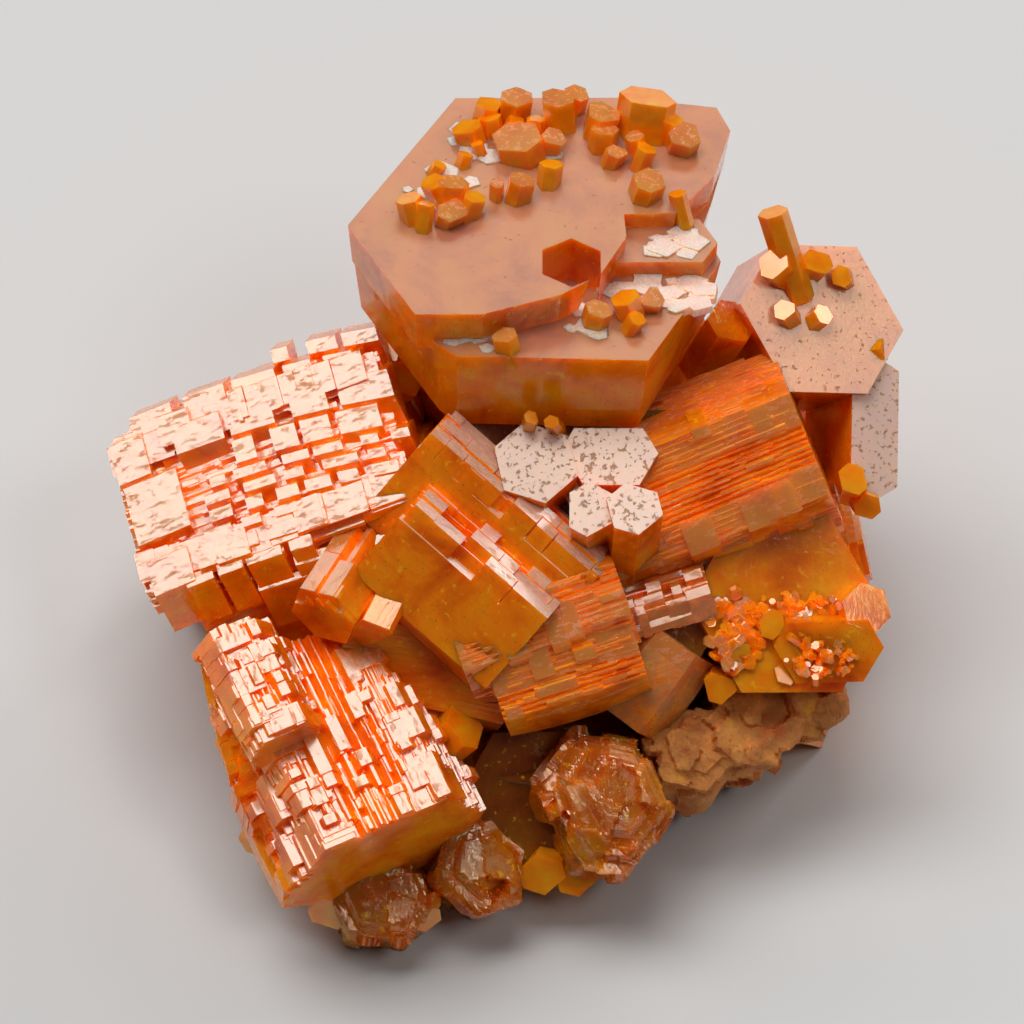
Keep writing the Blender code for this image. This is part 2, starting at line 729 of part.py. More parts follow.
def fill_pockets(mesh):
    """Deletes the small inner shells where crystals closed round a space, and leaves the outer one."""
    shape = bmesh.new()
    shape.from_mesh(mesh)
    left = set(shape.faces)
    shells = []
    while left:
        shell = set()
        edge_of_shell = [left.pop()]
        while edge_of_shell:
            face = edge_of_shell.pop()
            shell.add(face)
            near = {other for edge in face.edges for other in edge.link_faces} & left
            left -= near
            edge_of_shell.extend(near)
        shells.append(shell)
    shells.sort(key=len)
    for shell in shells[:-1]:
        bmesh.ops.delete(shape, geom=list(shell), context="FACES")
    shape.to_mesh(mesh)
    shape.free()


def main():
    for item in list(bpy.data.objects):
        bpy.data.objects.remove(item, do_unlink=True)
    chance = random.Random(SEED)
    group = bpy.data.collections.new("crystals")
    cutters = bpy.data.collections.new("cutters")
    bpy.context.scene.collection.children.link(group)
    bpy.context.scene.collection.children.link(cutters)
    lean = display_to_rest()
    level = Matrix.Translation((-FOOTPRINT_MIDDLE[0], -FOOTPRINT_MIDDLE[1], 0.0))
    for name, crystal in AROUND.items():
        add_crystal(name, crystal, level, group, chance)
    for name, crystal in FRONT.items():
        add_crystal(name, crystal, lean, group, chance)
    for end, out, across, length in SMALL:
        add_small(lean @ oriented(end, out, SMALL_FACE), across, length, group)
    add_table(lean, group)

    table_place = lean @ oriented(TABLE_MIDDLE, TABLE_OUT, ACROSS)
    pit_place = table_place @ Matrix.Translation((PIT_MIDDLE[0], PIT_MIDDLE[1], 0.0))
    stations = ((-PIT_DEPTH, PIT_TAPER), (PIT_CUTTER_TOP, 1.0))
    pit = lofted("pit", pit_place, six_sided([PIT_RADIUS] * 6), stations, cutters)
    ground_outline = ((-FAR, -FAR), (FAR, -FAR), (FAR, FAR), (-FAR, FAR))
    ground = lofted("ground", Matrix.Identity(4), ground_outline, ((-FAR, 1.0), (0.0, 1.0)), cutters)

    cluster = group.objects["trunk"]
    group.objects.unlink(cluster)
    bpy.context.scene.collection.objects.link(cluster)
    cluster.name = NODE
    cluster.hide_render = False
    cluster.display_type = "TEXTURED"
    grown = cluster.modifiers.new("grown together", "BOOLEAN")
    grown.operation = "UNION"
    grown.solver = "MANIFOLD"  # the exact solver leaves open edges where this many crystals meet
    grown.operand_type = "COLLECTION"
    grown.collection = group
    for cutter in (pit, ground):
        cut = cluster.modifiers.new(cutter.name, "BOOLEAN")
        cut.operation = "DIFFERENCE"
        cut.solver = "MANIFOLD"
        cut.object = cutter
    bpy.context.view_layer.update()
    evaluated = cluster.evaluated_get(bpy.context.evaluated_depsgraph_get())
    cluster.data = bpy.data.meshes.new_from_object(evaluated)
    cluster.modifiers.clear()
    fill_pockets(cluster.data)
    for helper in list(group.objects) + list(cutters.objects):
        bpy.data.objects.remove(helper, do_unlink=True)

    material = bpy.data.materials.new("mimetite")
    material.use_nodes = True
    shader = material.node_tree.nodes["Principled BSDF"]
    shader.inputs["Base Color"].default_value = ORANGE
    shader.inputs["Roughness"].default_value = 0.25
    shader.inputs["Metallic"].default_value = 0.0
    cluster.data.materials.append(material)


main()
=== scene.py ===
"""The looks of the mimetite cluster: orange crystals with mosaic sides, frosted ends and dusty coatings.

Places and sizes are in millimetres. The display frame has u to the right, v up and w out towards the
camera, from the middle of the display side. The cluster leans back from there until its underside is level.
"""

import json
import math
import random

import bmesh
import bpy
from mathutils import Matrix, Vector, noise

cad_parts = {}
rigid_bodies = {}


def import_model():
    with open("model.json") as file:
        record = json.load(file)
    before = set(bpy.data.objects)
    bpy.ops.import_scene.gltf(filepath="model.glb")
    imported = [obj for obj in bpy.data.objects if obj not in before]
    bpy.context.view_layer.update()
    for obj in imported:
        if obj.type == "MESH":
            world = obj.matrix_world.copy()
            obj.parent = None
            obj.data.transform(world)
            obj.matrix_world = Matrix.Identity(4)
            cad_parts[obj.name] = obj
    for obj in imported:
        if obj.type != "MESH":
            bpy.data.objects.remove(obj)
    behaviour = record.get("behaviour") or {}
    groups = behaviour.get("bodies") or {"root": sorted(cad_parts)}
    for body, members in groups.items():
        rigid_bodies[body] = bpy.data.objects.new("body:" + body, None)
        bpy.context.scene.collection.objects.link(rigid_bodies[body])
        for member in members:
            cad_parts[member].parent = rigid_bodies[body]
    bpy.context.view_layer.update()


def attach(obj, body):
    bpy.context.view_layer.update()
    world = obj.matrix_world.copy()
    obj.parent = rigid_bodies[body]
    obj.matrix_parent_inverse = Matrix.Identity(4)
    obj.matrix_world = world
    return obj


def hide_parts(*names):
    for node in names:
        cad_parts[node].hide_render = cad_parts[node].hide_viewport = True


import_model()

MM = 0.001
LOOK_DOWN = math.radians(55)
UNDERSIDE = -12.6
FOOTPRINT_MIDDLE = (0.0, 0.5)
SIXTH = math.radians(60)
FAR = 80.0
NODE = "mimetite_cluster"
SEED = 11

FRONT = {
    "left_barrel": {
        "end": (-15.9, -2.2, -4.0),
        "out": (-0.93, -0.33, -0.15),
        "face": (-0.2, 0.33, 0.92),
        "flats": (6.4, 6.8, 6.0, 6.0, 1.6, 6.3),
        "length": 13.3,
        "bulge": 0.07,
    },
    "left_barrel_low": {
        "end": (-13.2, -4.9, -3.4),
        "out": (-0.9, -0.4, -0.15),
        "face": (-0.2, 0.33, 0.92),
        "flats": (5.0, 4.4, 5.0, 5.0, 3.6, 4.0),
        "length": 12.5,
        "bulge": 0.04,
    },
    "middle_upper": {
        "end": (-4.0, 3.0, 1.5),
        "out": (-0.755, 0.656, 0.0),
        "face": (-0.18, -0.24, 0.95),
        "flats": (3.6, 3.6, 1.8, 4.0, 5.0, 4.5),
        "length": 10.0,
    },
    "middle_lower": {
        "end": (-4.6, 0.05, 1.6),
        "out": (-0.755, 0.656, 0.0),
        "face": (-0.18, -0.24, 0.95),
        "flats": (4.5, 4.0, 1.3, 4.0, 5.0, 4.2),
        "length": 8.0,
    },
    "middle_under": {
        "end": (-7.6, -5.0, -0.4),
        "out": (-0.97, 0.2, 0.1),
        "face": (0.0, -0.3, 0.95),
        "flats": (4.0, 3.6, 3.6, 3.6, 3.6, 3.6),
        "length": 8.0,
    },
    "small_left": {
        "end": (-8.2, -4.7, 5.0),
        "out": (-0.45, -0.72, 0.53),
        "face": (-0.24, 0.67, 0.71),
        "flats": (1.5, 1.5, 1.5, 1.5, 1.4, 1.5),
        "length": 6.5,
    },
    "small_wedge": {
        "end": (-6.1, -5.4, 4.8),
        "out": (-0.4, -0.8, 0.45),
        "face": (-0.8, 0.55, 0.3),
        "flats": (0.9, 1.2, 1.4, 0.5, 1.4, 1.2),
        "length": 5.0,
    },
    "fluted_barrel": {
        "end": (-5.0, -15.2, 3.6),
        "out": (0.42, -0.82, 0.38),
        "face": (0.0, 0.42, 0.9),
        "flats": (3.8, 4.9, 4.6, 3.8, 4.3, 4.4),
        "length": 10.0,
        "bulge": 0.06,
    },
    "fluted_upper_lobe": {
        "end": (-9.9, -10.5, 5.6),
        "out": (0.42, -0.82, 0.38),
        "face": (0.0, 0.42, 0.9),
        "flats": (1.9, 1.9, 1.9, 1.9, 1.9, 1.9),
        "length": 6.0,
        "bulge": 0.15,
    },
    "fluted_side_lobe": {
        "end": (-10.6, -12.9, 2.4),
        "out": (0.28, -0.87, 0.38),
        "face": (-0.45, 0.18, 0.87),
        "flats": (1.7, 1.7, 1.7, 1.7, 1.7, 1.7),
        "length": 7.2,
        "bulge": 0.12,
    },
    "fluted_low_lobe": {
        "end": (-8.6, -17.0, 3.6),
        "out": (0.42, -0.82, 0.38),
        "face": (-0.35, 0.22, 0.91),
        "flats": (1.7, 1.7, 1.7, 1.7, 1.7, 1.7),
        "length": 6.0,
        "bulge": 0.08,
    },
    "right_barrel": {
        "end": (14.0, 3.6, 0.6),
        "out": (0.927, 0.375, 0.08),
        "face": (-0.05, -0.09, 0.99),
        "flats": (4.1, 4.3, 3.8, 3.8, 3.8, 4.3),
        "length": 11.0,
        "bulge": 0.06,
    },
    "heart": {
        "end": (3.0, -2.0, 2.4),
        "out": (0.0, 0.0, 1.0),
        "face": (0.0, 1.0, 0.0),
        "flats": (6.8, 7.6, 7.2, 6.6, 7.4, 7.6),
        "length": 13.0,
    },
    "right_plate": {
        "end": (14.5, 9.2, 1.5),
        "out": (0.2, 0.1, 0.97),
        "face": (0.0, 0.99, -0.1),
        "flats": (3.2, 3.5, 3.1, 3.6, 3.7, 3.1),
        "length": 7.0,
    },
    "right_pitted_plate": {
        "end": (17.1, 3.9, 0.8),
        "out": (0.25, -0.05, 0.97),
        "face": (0.97, 0.0, -0.25),
        "flats": (1.05, 2.9, 2.6, 1.2, 2.8, 2.8),
        "length": 7.0,
    },
    "right_link": {
        "end": (10.4, 8.9, 1.4),
        "out": (0.3, 0.5, 0.8),
        "face": (0.0, 0.85, -0.5),
        "flats": (1.1, 1.0, 1.1, 1.0, 1.1, 1.0),
        "length": 4.0,
    },
    "low_right_druse": {
        "end": (13.3, -3.9, 2.6),
        "out": (0.13, 0.02, 0.99),
        "face": (0.0, 1.0, 0.0),
        "flats": (3.9, 4.3, 4.3, 4.2, 3.9, 3.3),
        "length": 9.0,
    },
    "low_right_plate": {
        "end": (14.7, -6.0, 3.3),
        "out": (0.1, -0.25, 0.96),
        "face": (0.0, 0.97, 0.25),
        "flats": (1.2, 2.2, 2.1, 1.7, 2.3, 2.2),
        "length": 4.0,
    },
    "low_right_corner": {
        "end": (16.5, -4.2, 3.2),
        "out": (0.25, 0.1, 0.96),
        "face": (0.3, 0.95, 0.0),
        "flats": (1.0, 1.0, 1.1, 1.0, 1.1, 1.0),
        "length": 5.0,
    },
    "front_barrel_upper": {
        "end": (5.4, -3.4, 3.4),
        "out": (0.94, 0.33, 0.02),
        "face": (-0.05, 0.1, 0.99),
        "flats": (2.4, 2.4, 2.3, 2.3, 2.3, 2.2),
        "length": 8.0,
        "bulge": 0.06,
    },
    "front_barrel_lower": {
        "end": (6.0, -5.7, 3.0),
        "out": (0.95, 0.3, 0.02),
        "face": (0.02, -0.15, 0.99),
        "flats": (2.4, 2.4, 2.3, 2.3, 2.1, 2.4),
        "length": 6.8,
        "bulge": 0.08,
    },
    "right_inner_barrel": {
        "end": (9.3, -3.2, 2.9),
        "out": (0.95, 0.3, 0.05),
        "face": (-0.1, 0.3, 0.95),
        "flats": (1.2, 1.3, 1.2, 1.2, 1.1, 1.1),
        "length": 5.5,
        "bulge": 0.08,
    },
    "right_inner_stub": {
        "end": (8.0, -5.7, 1.5),
        "out": (0.6, 0.8, 0.1),
        "face": (-0.08, -0.07, 0.99),
        "flats": (1.9, 1.9, 1.9, 1.9, 1.9, 1.9),
        "length": 4.4,
        "bulge": 0.08,
    },
    "pale_plate_left": {
        "end": (1.3, 2.4, 5.0),
        "out": (0.05, 0.32, 0.95),
        "face": (0.3, 0.9, -0.3),
        "flats": (1.7, 1.7, 1.6, 1.7, 1.8, 1.8),
        "length": 6.0,
    },
    "pale_plate_right": {
        "end": (4.7, 2.7, 4.6),
        "out": (0.0, 0.3, 0.95),
        "face": (0.0, 0.95, -0.3),
        "flats": (1.3, 2.0, 1.7, 1.4, 1.9, 2.0),
        "length": 6.0,
    },
    "pale_column_left": {
        "end": (3.8, 0.3, 6.4),
        "out": (-0.05, 0.3, 0.95),
        "face": (0.5, 0.8, -0.25),
        "flats": (1.1, 1.1, 0.9, 1.2, 1.1, 1.0),
        "length": 7.0,
    },
    "pale_column_right": {
        "end": (5.8, 0.3, 6.8),
        "out": (0.03, 0.45, 0.89),
        "face": (0.3, 0.85, -0.44),
        "flats": (1.1, 1.2, 1.1, 1.2, 1.1, 1.2),
        "length": 7.0,
    },
    "low_rough_crystal": {
        "end": (4.7, -13.0, 3.2),
        "out": (0.15, 0.05, 0.98),
        "face": (0.1, 1.0, 0.0),
        "flats": (3.0, 2.9, 2.5, 3.4, 2.8, 2.5),
        "length": 7.0,
        "terraces": ((0.8, 0.5), (0.55, 0.9)),
    },
    "low_left_rough_crystal": {
        "end": (-5.6, -17.5, 1.4),
        "out": (0.05, 0.2, 0.97),
        "face": (0.1, 1.0, -0.2),
        "flats": (2.0, 2.2, 2.2, 1.9, 2.0, 2.0),
        "length": 5.0,
        "terraces": ((0.75, 0.4),),
    },
    "low_middle_crystal": {
        "end": (-1.0, -16.2, 1.2),
        "out": (0.2, 0.1, 0.96),
        "face": (-0.3, 0.95, 0.0),
        "flats": (2.0, 2.0, 1.8, 1.9, 1.9, 2.0),
        "length": 5.0,
        "terraces": ((0.7, 0.4),),
    },
    "recess_crystal": {
        "end": (1.2, -13.0, 0.2),
        "out": (0.1, -0.1, 0.98),
        "face": (0.0, 1.0, 0.1),
        "flats": (3.0, 3.0, 3.0, 3.0, 3.0, 3.0),
        "length": 6.0,
    },
    "coated_crystal": {
        "end": (8.6, -10.6, 1.6),
        "out": (0.1, 0.25, 0.96),
        "face": (0.2, 0.95, -0.25),
        "flats": (1.9, 2.0, 1.9, 2.0, 1.9, 1.9),
        "length": 6.0,
        "terraces": ((0.7, 0.4),),
    },
    "coated_ledge": {
        "end": (11.6, -9.3, 1.2),
        "out": (0.2, 0.2, 0.95),
        "face": (0.0, 0.98, -0.2),
        "flats": (1.9, 2.0, 2.0, 2.2, 2.0, 2.0),
        "length": 7.0,
    },
    "yellow_ledge": {
        "end": (14.1, -8.6, 0.4),
        "out": (0.3, 0.1, 0.95),
        "face": (0.2, 0.98, -0.2),
        "flats": (1.6, 1.7, 1.7, 1.6, 1.7, 1.6),
        "length": 7.0,
        "terraces": ((0.7, 0.4),),
    },
}

AROUND = {
    "trunk": {
        "end": (1.5, 8.9, 19.0),
        "out": (0.03, 0.05, 1.0),
        "face": (0.0, 1.0, 0.0),
        "flats": (5.5, 5.6, 5.3, 5.4, 5.6, 5.5),
        "length": 19.5,
    },
    "root": {
        "end": (1.0, -0.4, 7.0),
        "out": (0.0, -0.1, 1.0),
        "face": (0.1, 1.0, 0.0),
        "flats": (12.0, 11.5, 11.0, 10.0, 9.8, 12.5),
        "length": 7.5,
    },
    "back_left_barrel": {
        "end": (-9.5, 8.7, 6.6),
        "out": (-0.72, 0.66, 0.2),
        "face": (0.12, -0.15, 0.98),
        "flats": (3.9, 4.1, 3.7, 3.6, 3.9, 4.0),
        "length": 12.0,
        "bulge": 0.08,
        "terraces": ((0.78, 0.35), (0.5, 0.6)),
    },
    "back_barrel": {
        "end": (2.0, 16.7, 8.0),
        "out": (0.12, 0.96, 0.22),
        "face": (0.25, -0.2, 0.95),
        "flats": (4.6, 4.4, 4.5, 4.2, 4.6, 4.4),
        "length": 14.0,
        "bulge": 0.07,
        "terraces": ((0.8, 0.4), (0.55, 0.75)),
    },
    "back_right_barrel": {
        "end": (13.3, 10.9, 6.4),
        "out": (0.74, 0.64, 0.16),
        "face": (-0.1, -0.1, 0.98),
        "flats": (4.0, 3.8, 3.7, 3.9, 4.0, 3.8),
        "length": 12.0,
        "bulge": 0.08,
        "terraces": ((0.75, 0.4),),
    },
    "right_side_barrel": {
        "end": (16.7, 2.7, 5.0),
        "out": (0.96, 0.1, 0.2),
        "face": (-0.2, 0.1, 0.97),
        "flats": (3.4, 3.3, 3.5, 3.3, 3.2, 3.4),
        "length": 10.0,
        "bulge": 0.08,
        "terraces": ((0.78, 0.35), (0.45, 0.6)),
    },
    "left_side_barrel": {
        "end": (-15.1, 4.7, 3.6),
        "out": (-0.94, 0.3, 0.05),
        "face": (0.05, 0.1, 0.99),
        "flats": (3.0, 2.9, 3.0, 3.0, 2.9, 3.1),
        "length": 9.0,
        "bulge": 0.08,
        "terraces": ((0.7, 0.4),),
    },
    "back_left_low": {
        "end": (-7.7, 12.3, 2.4),
        "out": (-0.45, 0.88, 0.05),
        "face": (0.1, -0.1, 0.99),
        "flats": (2.4, 2.5, 2.6, 2.4, 2.5, 2.4),
        "length": 8.0,
    },
    "back_right_low": {
        "end": (8.7, 15.1, 2.8),
        "out": (0.36, 0.93, 0.05),
        "face": (-0.1, 0.0, 0.99),
        "flats": (2.6, 2.5, 2.6, 2.4, 2.5, 2.6),
        "length": 9.0,
        "terraces": ((0.75, 0.3),),
    },
    "back_upright": {
        "end": (-3.1, 11.7, 14.6),
        "out": (-0.15, 0.3, 0.94),
        "face": (0.1, 0.95, -0.3),
        "flats": (2.4, 2.2, 2.3, 2.4, 2.2, 2.3),
        "length": 12.0,
    },
    "back_right_upright": {
        "end": (7.3, 11.3, 13.6),
        "out": (0.25, 0.35, 0.9),
        "face": (0.3, 0.9, -0.4),
        "flats": (2.0, 2.1, 2.0, 1.9, 2.0, 2.1),
        "length": 11.0,
    },
    "left_front_low": {
        "end": (-11.1, -4.1, 2.6),
        "out": (-0.93, -0.35, 0.1),
        "face": (0.0, 0.1, 0.99),
        "flats": (2.4, 2.4, 2.3, 2.4, 2.4, 2.3),
        "length": 8.0,
    },
    "right_front_low": {
        "end": (15.1, -3.5, 2.6),
        "out": (0.93, -0.3, 0.15),
        "face": (-0.1, 0.0, 0.98),
        "flats": (2.6, 2.5, 2.4, 2.5, 2.6, 2.5),
        "length": 8.0,
    },
}

SMALL = (
    ((12.2, 13.8, 3.4), (-0.30, 0.85, 0.45), 1.2, 4.6),
    ((12.3, 11.5, 2.9), (-0.4, 0.3, 0.9), 1.4, 2.4),
    ((14.3, 11.6, 2.2), (0.3, 0.3, 0.9), 1.2, 2.0),
    ((15.4, 10.9, 1.9), (-0.2, 0.1, 0.95), 1.0, 1.6),
    ((12.7, 9.4, 2.6), (-0.3, 0.4, 0.9), 1.0, 1.8),
    ((14.6, 9.2, 2.1), (0.5, 0.4, 0.8), 0.9, 1.6),
    ((17.5, 7.6, 0.9), (0.9, 0.1, 0.4), 0.9, 2.4),
    ((16.7, 0.4, 1.0), (0.2, -0.4, 0.9), 1.2, 3.0),
    ((15.9, 1.6, 1.8), (0.0, 0.2, 0.98), 1.3, 3.0),
    ((-11.8, -14.1, 0.6), (-0.8, 0.1, 0.6), 1.6, 3.0),
    ((-11.7, -15.1, -0.4), (-0.6, -0.5, 0.6), 1.5, 3.0),
    ((-8.1, -18.3, 1.0), (-0.2, -0.5, 0.85), 1.8, 3.0),
    ((-3.6, -18.6, 0.4), (0.3, -0.5, 0.8), 1.4, 3.0),
    ((1.7, -16.5, 0.6), (-0.2, -0.3, 0.9), 1.9, 3.0),
    ((3.4, -16.7, 0.4), (0.2, -0.3, 0.9), 1.8, 3.0),
    ((-6.0, 7.4, -2.2), (-0.3, 0.6, 0.7), 2.6, 4.0),
    ((-4.6, 6.4, -1.2), (0.5, 0.4, 0.7), 1.8, 4.0),
    ((12.2, -5.0, 3.4), (-0.2, 0.1, 0.97), 1.2, 2.0),
    ((10.6, -6.4, 3.2), (0.1, -0.2, 0.97), 1.1, 2.0),
    ((12.9, -7.2, 2.9), (0.2, 0.2, 0.95), 1.0, 2.0),
    ((9.8, -7.9, 2.7), (-0.1, -0.2, 0.97), 1.4, 2.4),
    ((-1.8, -9.6, 2.6), (0.6, 0.5, 0.6), 2.2, 5.0),
    ((1.2, 4.4, 5.6), (0.1, 0.3, 0.9), 0.6, 1.6),
    ((2.1, 4.2, 5.6), (-0.2, 0.2, 0.9), 0.7, 1.6),
)


# Each piece: whether its places are level or in the display frame, its finish and its crystals.

PIECES = {
    "left_mosaic_barrel": ("display", "glassy", ("left_barrel", "left_barrel_low")),
    "middle_barrels": ("display", "glassy", ("middle_upper", "middle_lower")),
    "middle_low_barrel": ("display", "striated", ("middle_under",)),
    "small_left_crystals": ("display", "glassy", ("small_left", "small_wedge")),
    "fluted_barrel": (
        "display",
        "glassy",
        ("fluted_barrel", "fluted_upper_lobe", "fluted_side_lobe", "fluted_low_lobe"),
    ),
    "right_barrel": ("display", "striated", ("right_barrel",)),
    "right_plates": ("display", "frosted", ("right_plate", "right_link")),
    "right_pitted_plate": ("display", "pitted", ("right_pitted_plate",)),
    "druse_plates": ("display", "smooth", ("low_right_druse", "low_right_plate", "low_right_corner")),
    "front_barrels": ("display", "striated", ("front_barrel_upper", "front_barrel_lower")),
    "inner_barrels": ("display", "dusty", ("right_inner_barrel", "right_inner_stub")),
    "pale_plates": (
        "display",
        "pitted",
        ("pale_plate_left", "pale_plate_right", "pale_column_left", "pale_column_right"),
    ),
    "rough_crystals": (
        "display",
        "rough",
        ("low_rough_crystal", "low_left_rough_crystal", "low_middle_crystal"),
    ),
    # The recess crystal, the heart and the root take a darkened glassy finish: painted shade.
    "recess_crystal": ("display", "deep_shade", ("recess_crystal",)),
    "coated_crystals": ("display", "coated", ("coated_crystal", "coated_ledge", "yellow_ledge")),
    "heart": ("display", "deep_shade", ("heart",)),
    "trunk": ("level", "striated", ("trunk",)),
    "root": ("level", "deep_shade", ("root",)),
    "back_left_barrel": ("level", "glassy", ("back_left_barrel", "back_left_low")),
    "back_barrel": ("level", "glassy", ("back_barrel", "back_right_low")),
    "back_right_barrel": ("level", "striated", ("back_right_barrel",)),
    "right_side_barrel": ("level", "glassy", ("right_side_barrel", "right_front_low")),
    "left_side_barrel": ("level", "striated", ("left_side_barrel", "left_front_low")),
    "back_uprights": ("level", "glassy", ("back_upright", "back_right_upright")),
}

# The mosaic of a side: rows across, the longest and shortest block, and the share of wide blocks.

MOSAIC = {
    "left_barrel": {0: (10, 2.0, 0.3, 0.0), 1: (4, 1.8, 0.6, 0.6), 5: (4, 2.6, 0.9, 0.1)},
    "left_barrel_low": {0: (5, 2.2, 0.5, 0.4)},
    "middle_upper": {1: (3, 2.6, 0.6, 0.95)},
    "middle_lower": {1: (3, 2.6, 0.6, 0.95)},
    "small_left": {0: (2, 2.2, 1.0, 0.8)},
    "fluted_barrel": {0: (10, 2.2, 0.4, 0.4), 1: (5, 1.4, 0.4, 0.4), 5: (5, 1.6, 0.5, 0.5)},
    "fluted_upper_lobe": {0: (5, 1.4, 0.5, 0.8), 1: (3, 1.2, 0.5, 0.5), 5: (3, 1.2, 0.5, 0.5)},
    "fluted_side_lobe": {0: (4, 1.2, 0.4, 0.7), 5: (3, 1.2, 0.4, 0.5)},
    "fluted_low_lobe": {0: (4, 1.2, 0.4, 0.7), 5: (3, 1.2, 0.4, 0.5)},
    "right_barrel": {0: (9, 2.5, 0.6, 0.02), 1: (5, 2.0, 0.6, 0.7), 5: (10, 3.5, 0.8, 0.1)},
    "front_barrel_upper": {0: (6, 2.0, 0.5, 0.08), 1: (3, 2.0, 0.6, 0.3)},
    "front_barrel_lower": {0: (5, 2.0, 0.5, 0.08), 5: (5, 2.0, 0.6, 0.2)},
    "right_inner_barrel": {0: (3, 1.2, 0.4, 0.7)},
    "trunk": {0: (6, 2.4, 0.7, 0.5), 1: (6, 2.4, 0.7, 0.5), 5: (6, 2.4, 0.7, 0.5)},
    "back_left_barrel": {0: (7, 2.0, 0.6, 0.6), 1: (6, 2.0, 0.6, 0.5), 5: (6, 2.0, 0.6, 0.5)},
    "back_barrel": {0: (8, 2.2, 0.6, 0.6), 1: (7, 2.0, 0.6, 0.5), 5: (7, 2.0, 0.6, 0.5)},
    "back_right_barrel": {0: (7, 2.2, 0.6, 0.4), 1: (6, 2.0, 0.6, 0.5), 5: (6, 2.0, 0.6, 0.4)},
    "right_side_barrel": {0: (6, 1.8, 0.6, 0.6), 1: (5, 1.8, 0.6, 0.5), 5: (5, 1.8, 0.6, 0.5)},
    "left_side_barrel": {0: (5, 1.8, 0.6, 0.5), 1: (5, 1.8, 0.6, 0.5), 5: (5, 1.8, 0.6, 0.4)},
    "back_left_low": {0: (4, 1.6, 0.5, 0.6)},
    "back_right_low": {0: (4, 1.6, 0.5, 0.6)},
}

# The left barrel's wide blocks lie in bands along it, one below the other from its upper edge. Each band has
# its blocks' width, where it starts and stops along the axis, and its usual block's length. Three plates at
# the outer end are wider than a band: how far each lies above the axis there, its width and its length.

UPPER_EDGE = 7.6  # above the axis at the outer end
BAND_GAP = 0.3
BANDS = (
    (0.6, 8.0, 12.5, 1.2),
    (0.9, 0.8, 12.0, 1.6),
    (1.2, 2.5, 12.5, 1.8),
    (1.0, 5.0, 12.5, 1.5),
    (0.4, 3.5, 12.5, 1.2),
    (0.4, 3.0, 12.0, 1.2),
    (0.5, 3.0, 11.0, 1.0),
    (0.4, 2.5, 7.0, 1.0),
    (0.6, 2.5, 7.0, 1.2),
    (0.5, 1.0, 7.0, 1.5),
    (0.4, 6.0, 9.5, 2.5),
    (0.3, 4.0, 9.0, 2.0),
)
END_START = -0.5
END_PLATES = ((4.9, 1.8, 1.6), (2.4, 2.6, 2.6), (-0.6, 1.5, 2.0))
LENGTH_RANGE = (0.6, 1.4)  # of the usual length
GAP_RANGE = (0.15, 0.9)
ROW_TURN = 4.0  # degrees from the axis at the outer end
ROW_BEND = 1.1  # degrees less per millimetre inwards
PLATE_LEAN = 0.3  # how far a block's ends run to the right per millimetre down
PLATE_DEPTH = 2.0
EDGE_START = 3.2  # where the barrel's side begins to fall away, from its middle line
EDGE_DROP = 0.3
SUNK = {"left_barrel": 0.45}

FLARE = math.tan(math.radians(30))  # a block's long sides are prism faces, 60 degrees from its top
BLOCK_ROOT = 1.3
BLOCK_RISE = (0.0, 0.22)
BASE_DROP = 0.75  # the side below a mosaic lies this much lower than the blocks' tops
ON_SIDE = 0.0001
GAP_SHARE = 0.3  # blocks left out of a mosaic
RIDGES = (0.5, 0.12, 0.3)  # how far apart, and the least and the most that they lie below the side
FINE_RIDGES = (0.26, 0.0, 0.1)
FINE = ("right_barrel", "front_barrel_upper", "front_barrel_lower")
RIDGE_HALF = (0.01, 0.05)


def oriented(middle, out, face):
    """A matrix with Z along out and X along face, as nearly as that is square to out."""
    along = Vector(out).normalized()
    first = Vector(face)
    first = (first - first.dot(along) * along).normalized()
    matrix = Matrix((first, along.cross(first), along)).transposed().to_4x4()
    matrix.translation = Vector(middle)
    return matrix


def display_to_rest():
    """Leans the display frame back and sets the underside at Z = 0, with the box's middle at X = Y = 0."""
    across = Vector((1, 0, 0))
    up = Vector((0, math.sin(LOOK_DOWN), math.cos(LOOK_DOWN)))
    matrix = Matrix((across, up, across.cross(up))).transposed().to_4x4()
    matrix.translation = Vector((-FOOTPRINT_MIDDLE[0], -FOOTPRINT_MIDDLE[1], -UNDERSIDE))
    return matrix


def level_to_rest():
    """Moves level places so that the box's middle is at X = Y = 0."""
    return Matrix.Translation((-FOOTPRINT_MIDDLE[0], -FOOTPRINT_MIDDLE[1], 0.0))


def six_sided(flats):
    """The corners of the outline whose side k lies flats[k] from the middle, turned k sixths from X."""
    outline = [Vector((-FAR, -FAR)), Vector((FAR, -FAR)), Vector((FAR, FAR)), Vector((-FAR, FAR))]
    for k, distance in enumerate(flats):
        normal = Vector((math.cos(k * SIXTH), math.sin(k * SIXTH)))
        kept = []
        for here, there in zip(outline, outline[1:] + outline[:1]):
            inside = distance - here.dot(normal)
            next_inside = distance - there.dot(normal)
            if inside >= 0:
                kept.append(here)
            if inside * next_inside < 0:
                kept.append(here.lerp(there, inside / (inside - next_inside)))
        outline = kept
    return outline


def add_rings(group, place, rings):
    """A closed solid through rings of equally many corners, bottom to top."""
    count = len(rings[0])
    points = [(place @ Vector(corner)) * MM for ring in rings for corner in ring]
    faces = [tuple(reversed(range(count))), tuple(range(len(points) - count, len(points)))]
    for level in range(0, len(points) - count, count):
        for i in range(count):
            j = (i + 1) % count
            faces.append((level + i, level + j, level + count + j, level + count + i))
    mesh = bpy.data.meshes.new("solid")
    mesh.from_pydata(points, [], faces)
    solid = bpy.data.objects.new("solid", mesh)
    group.objects.link(solid)
    return solid


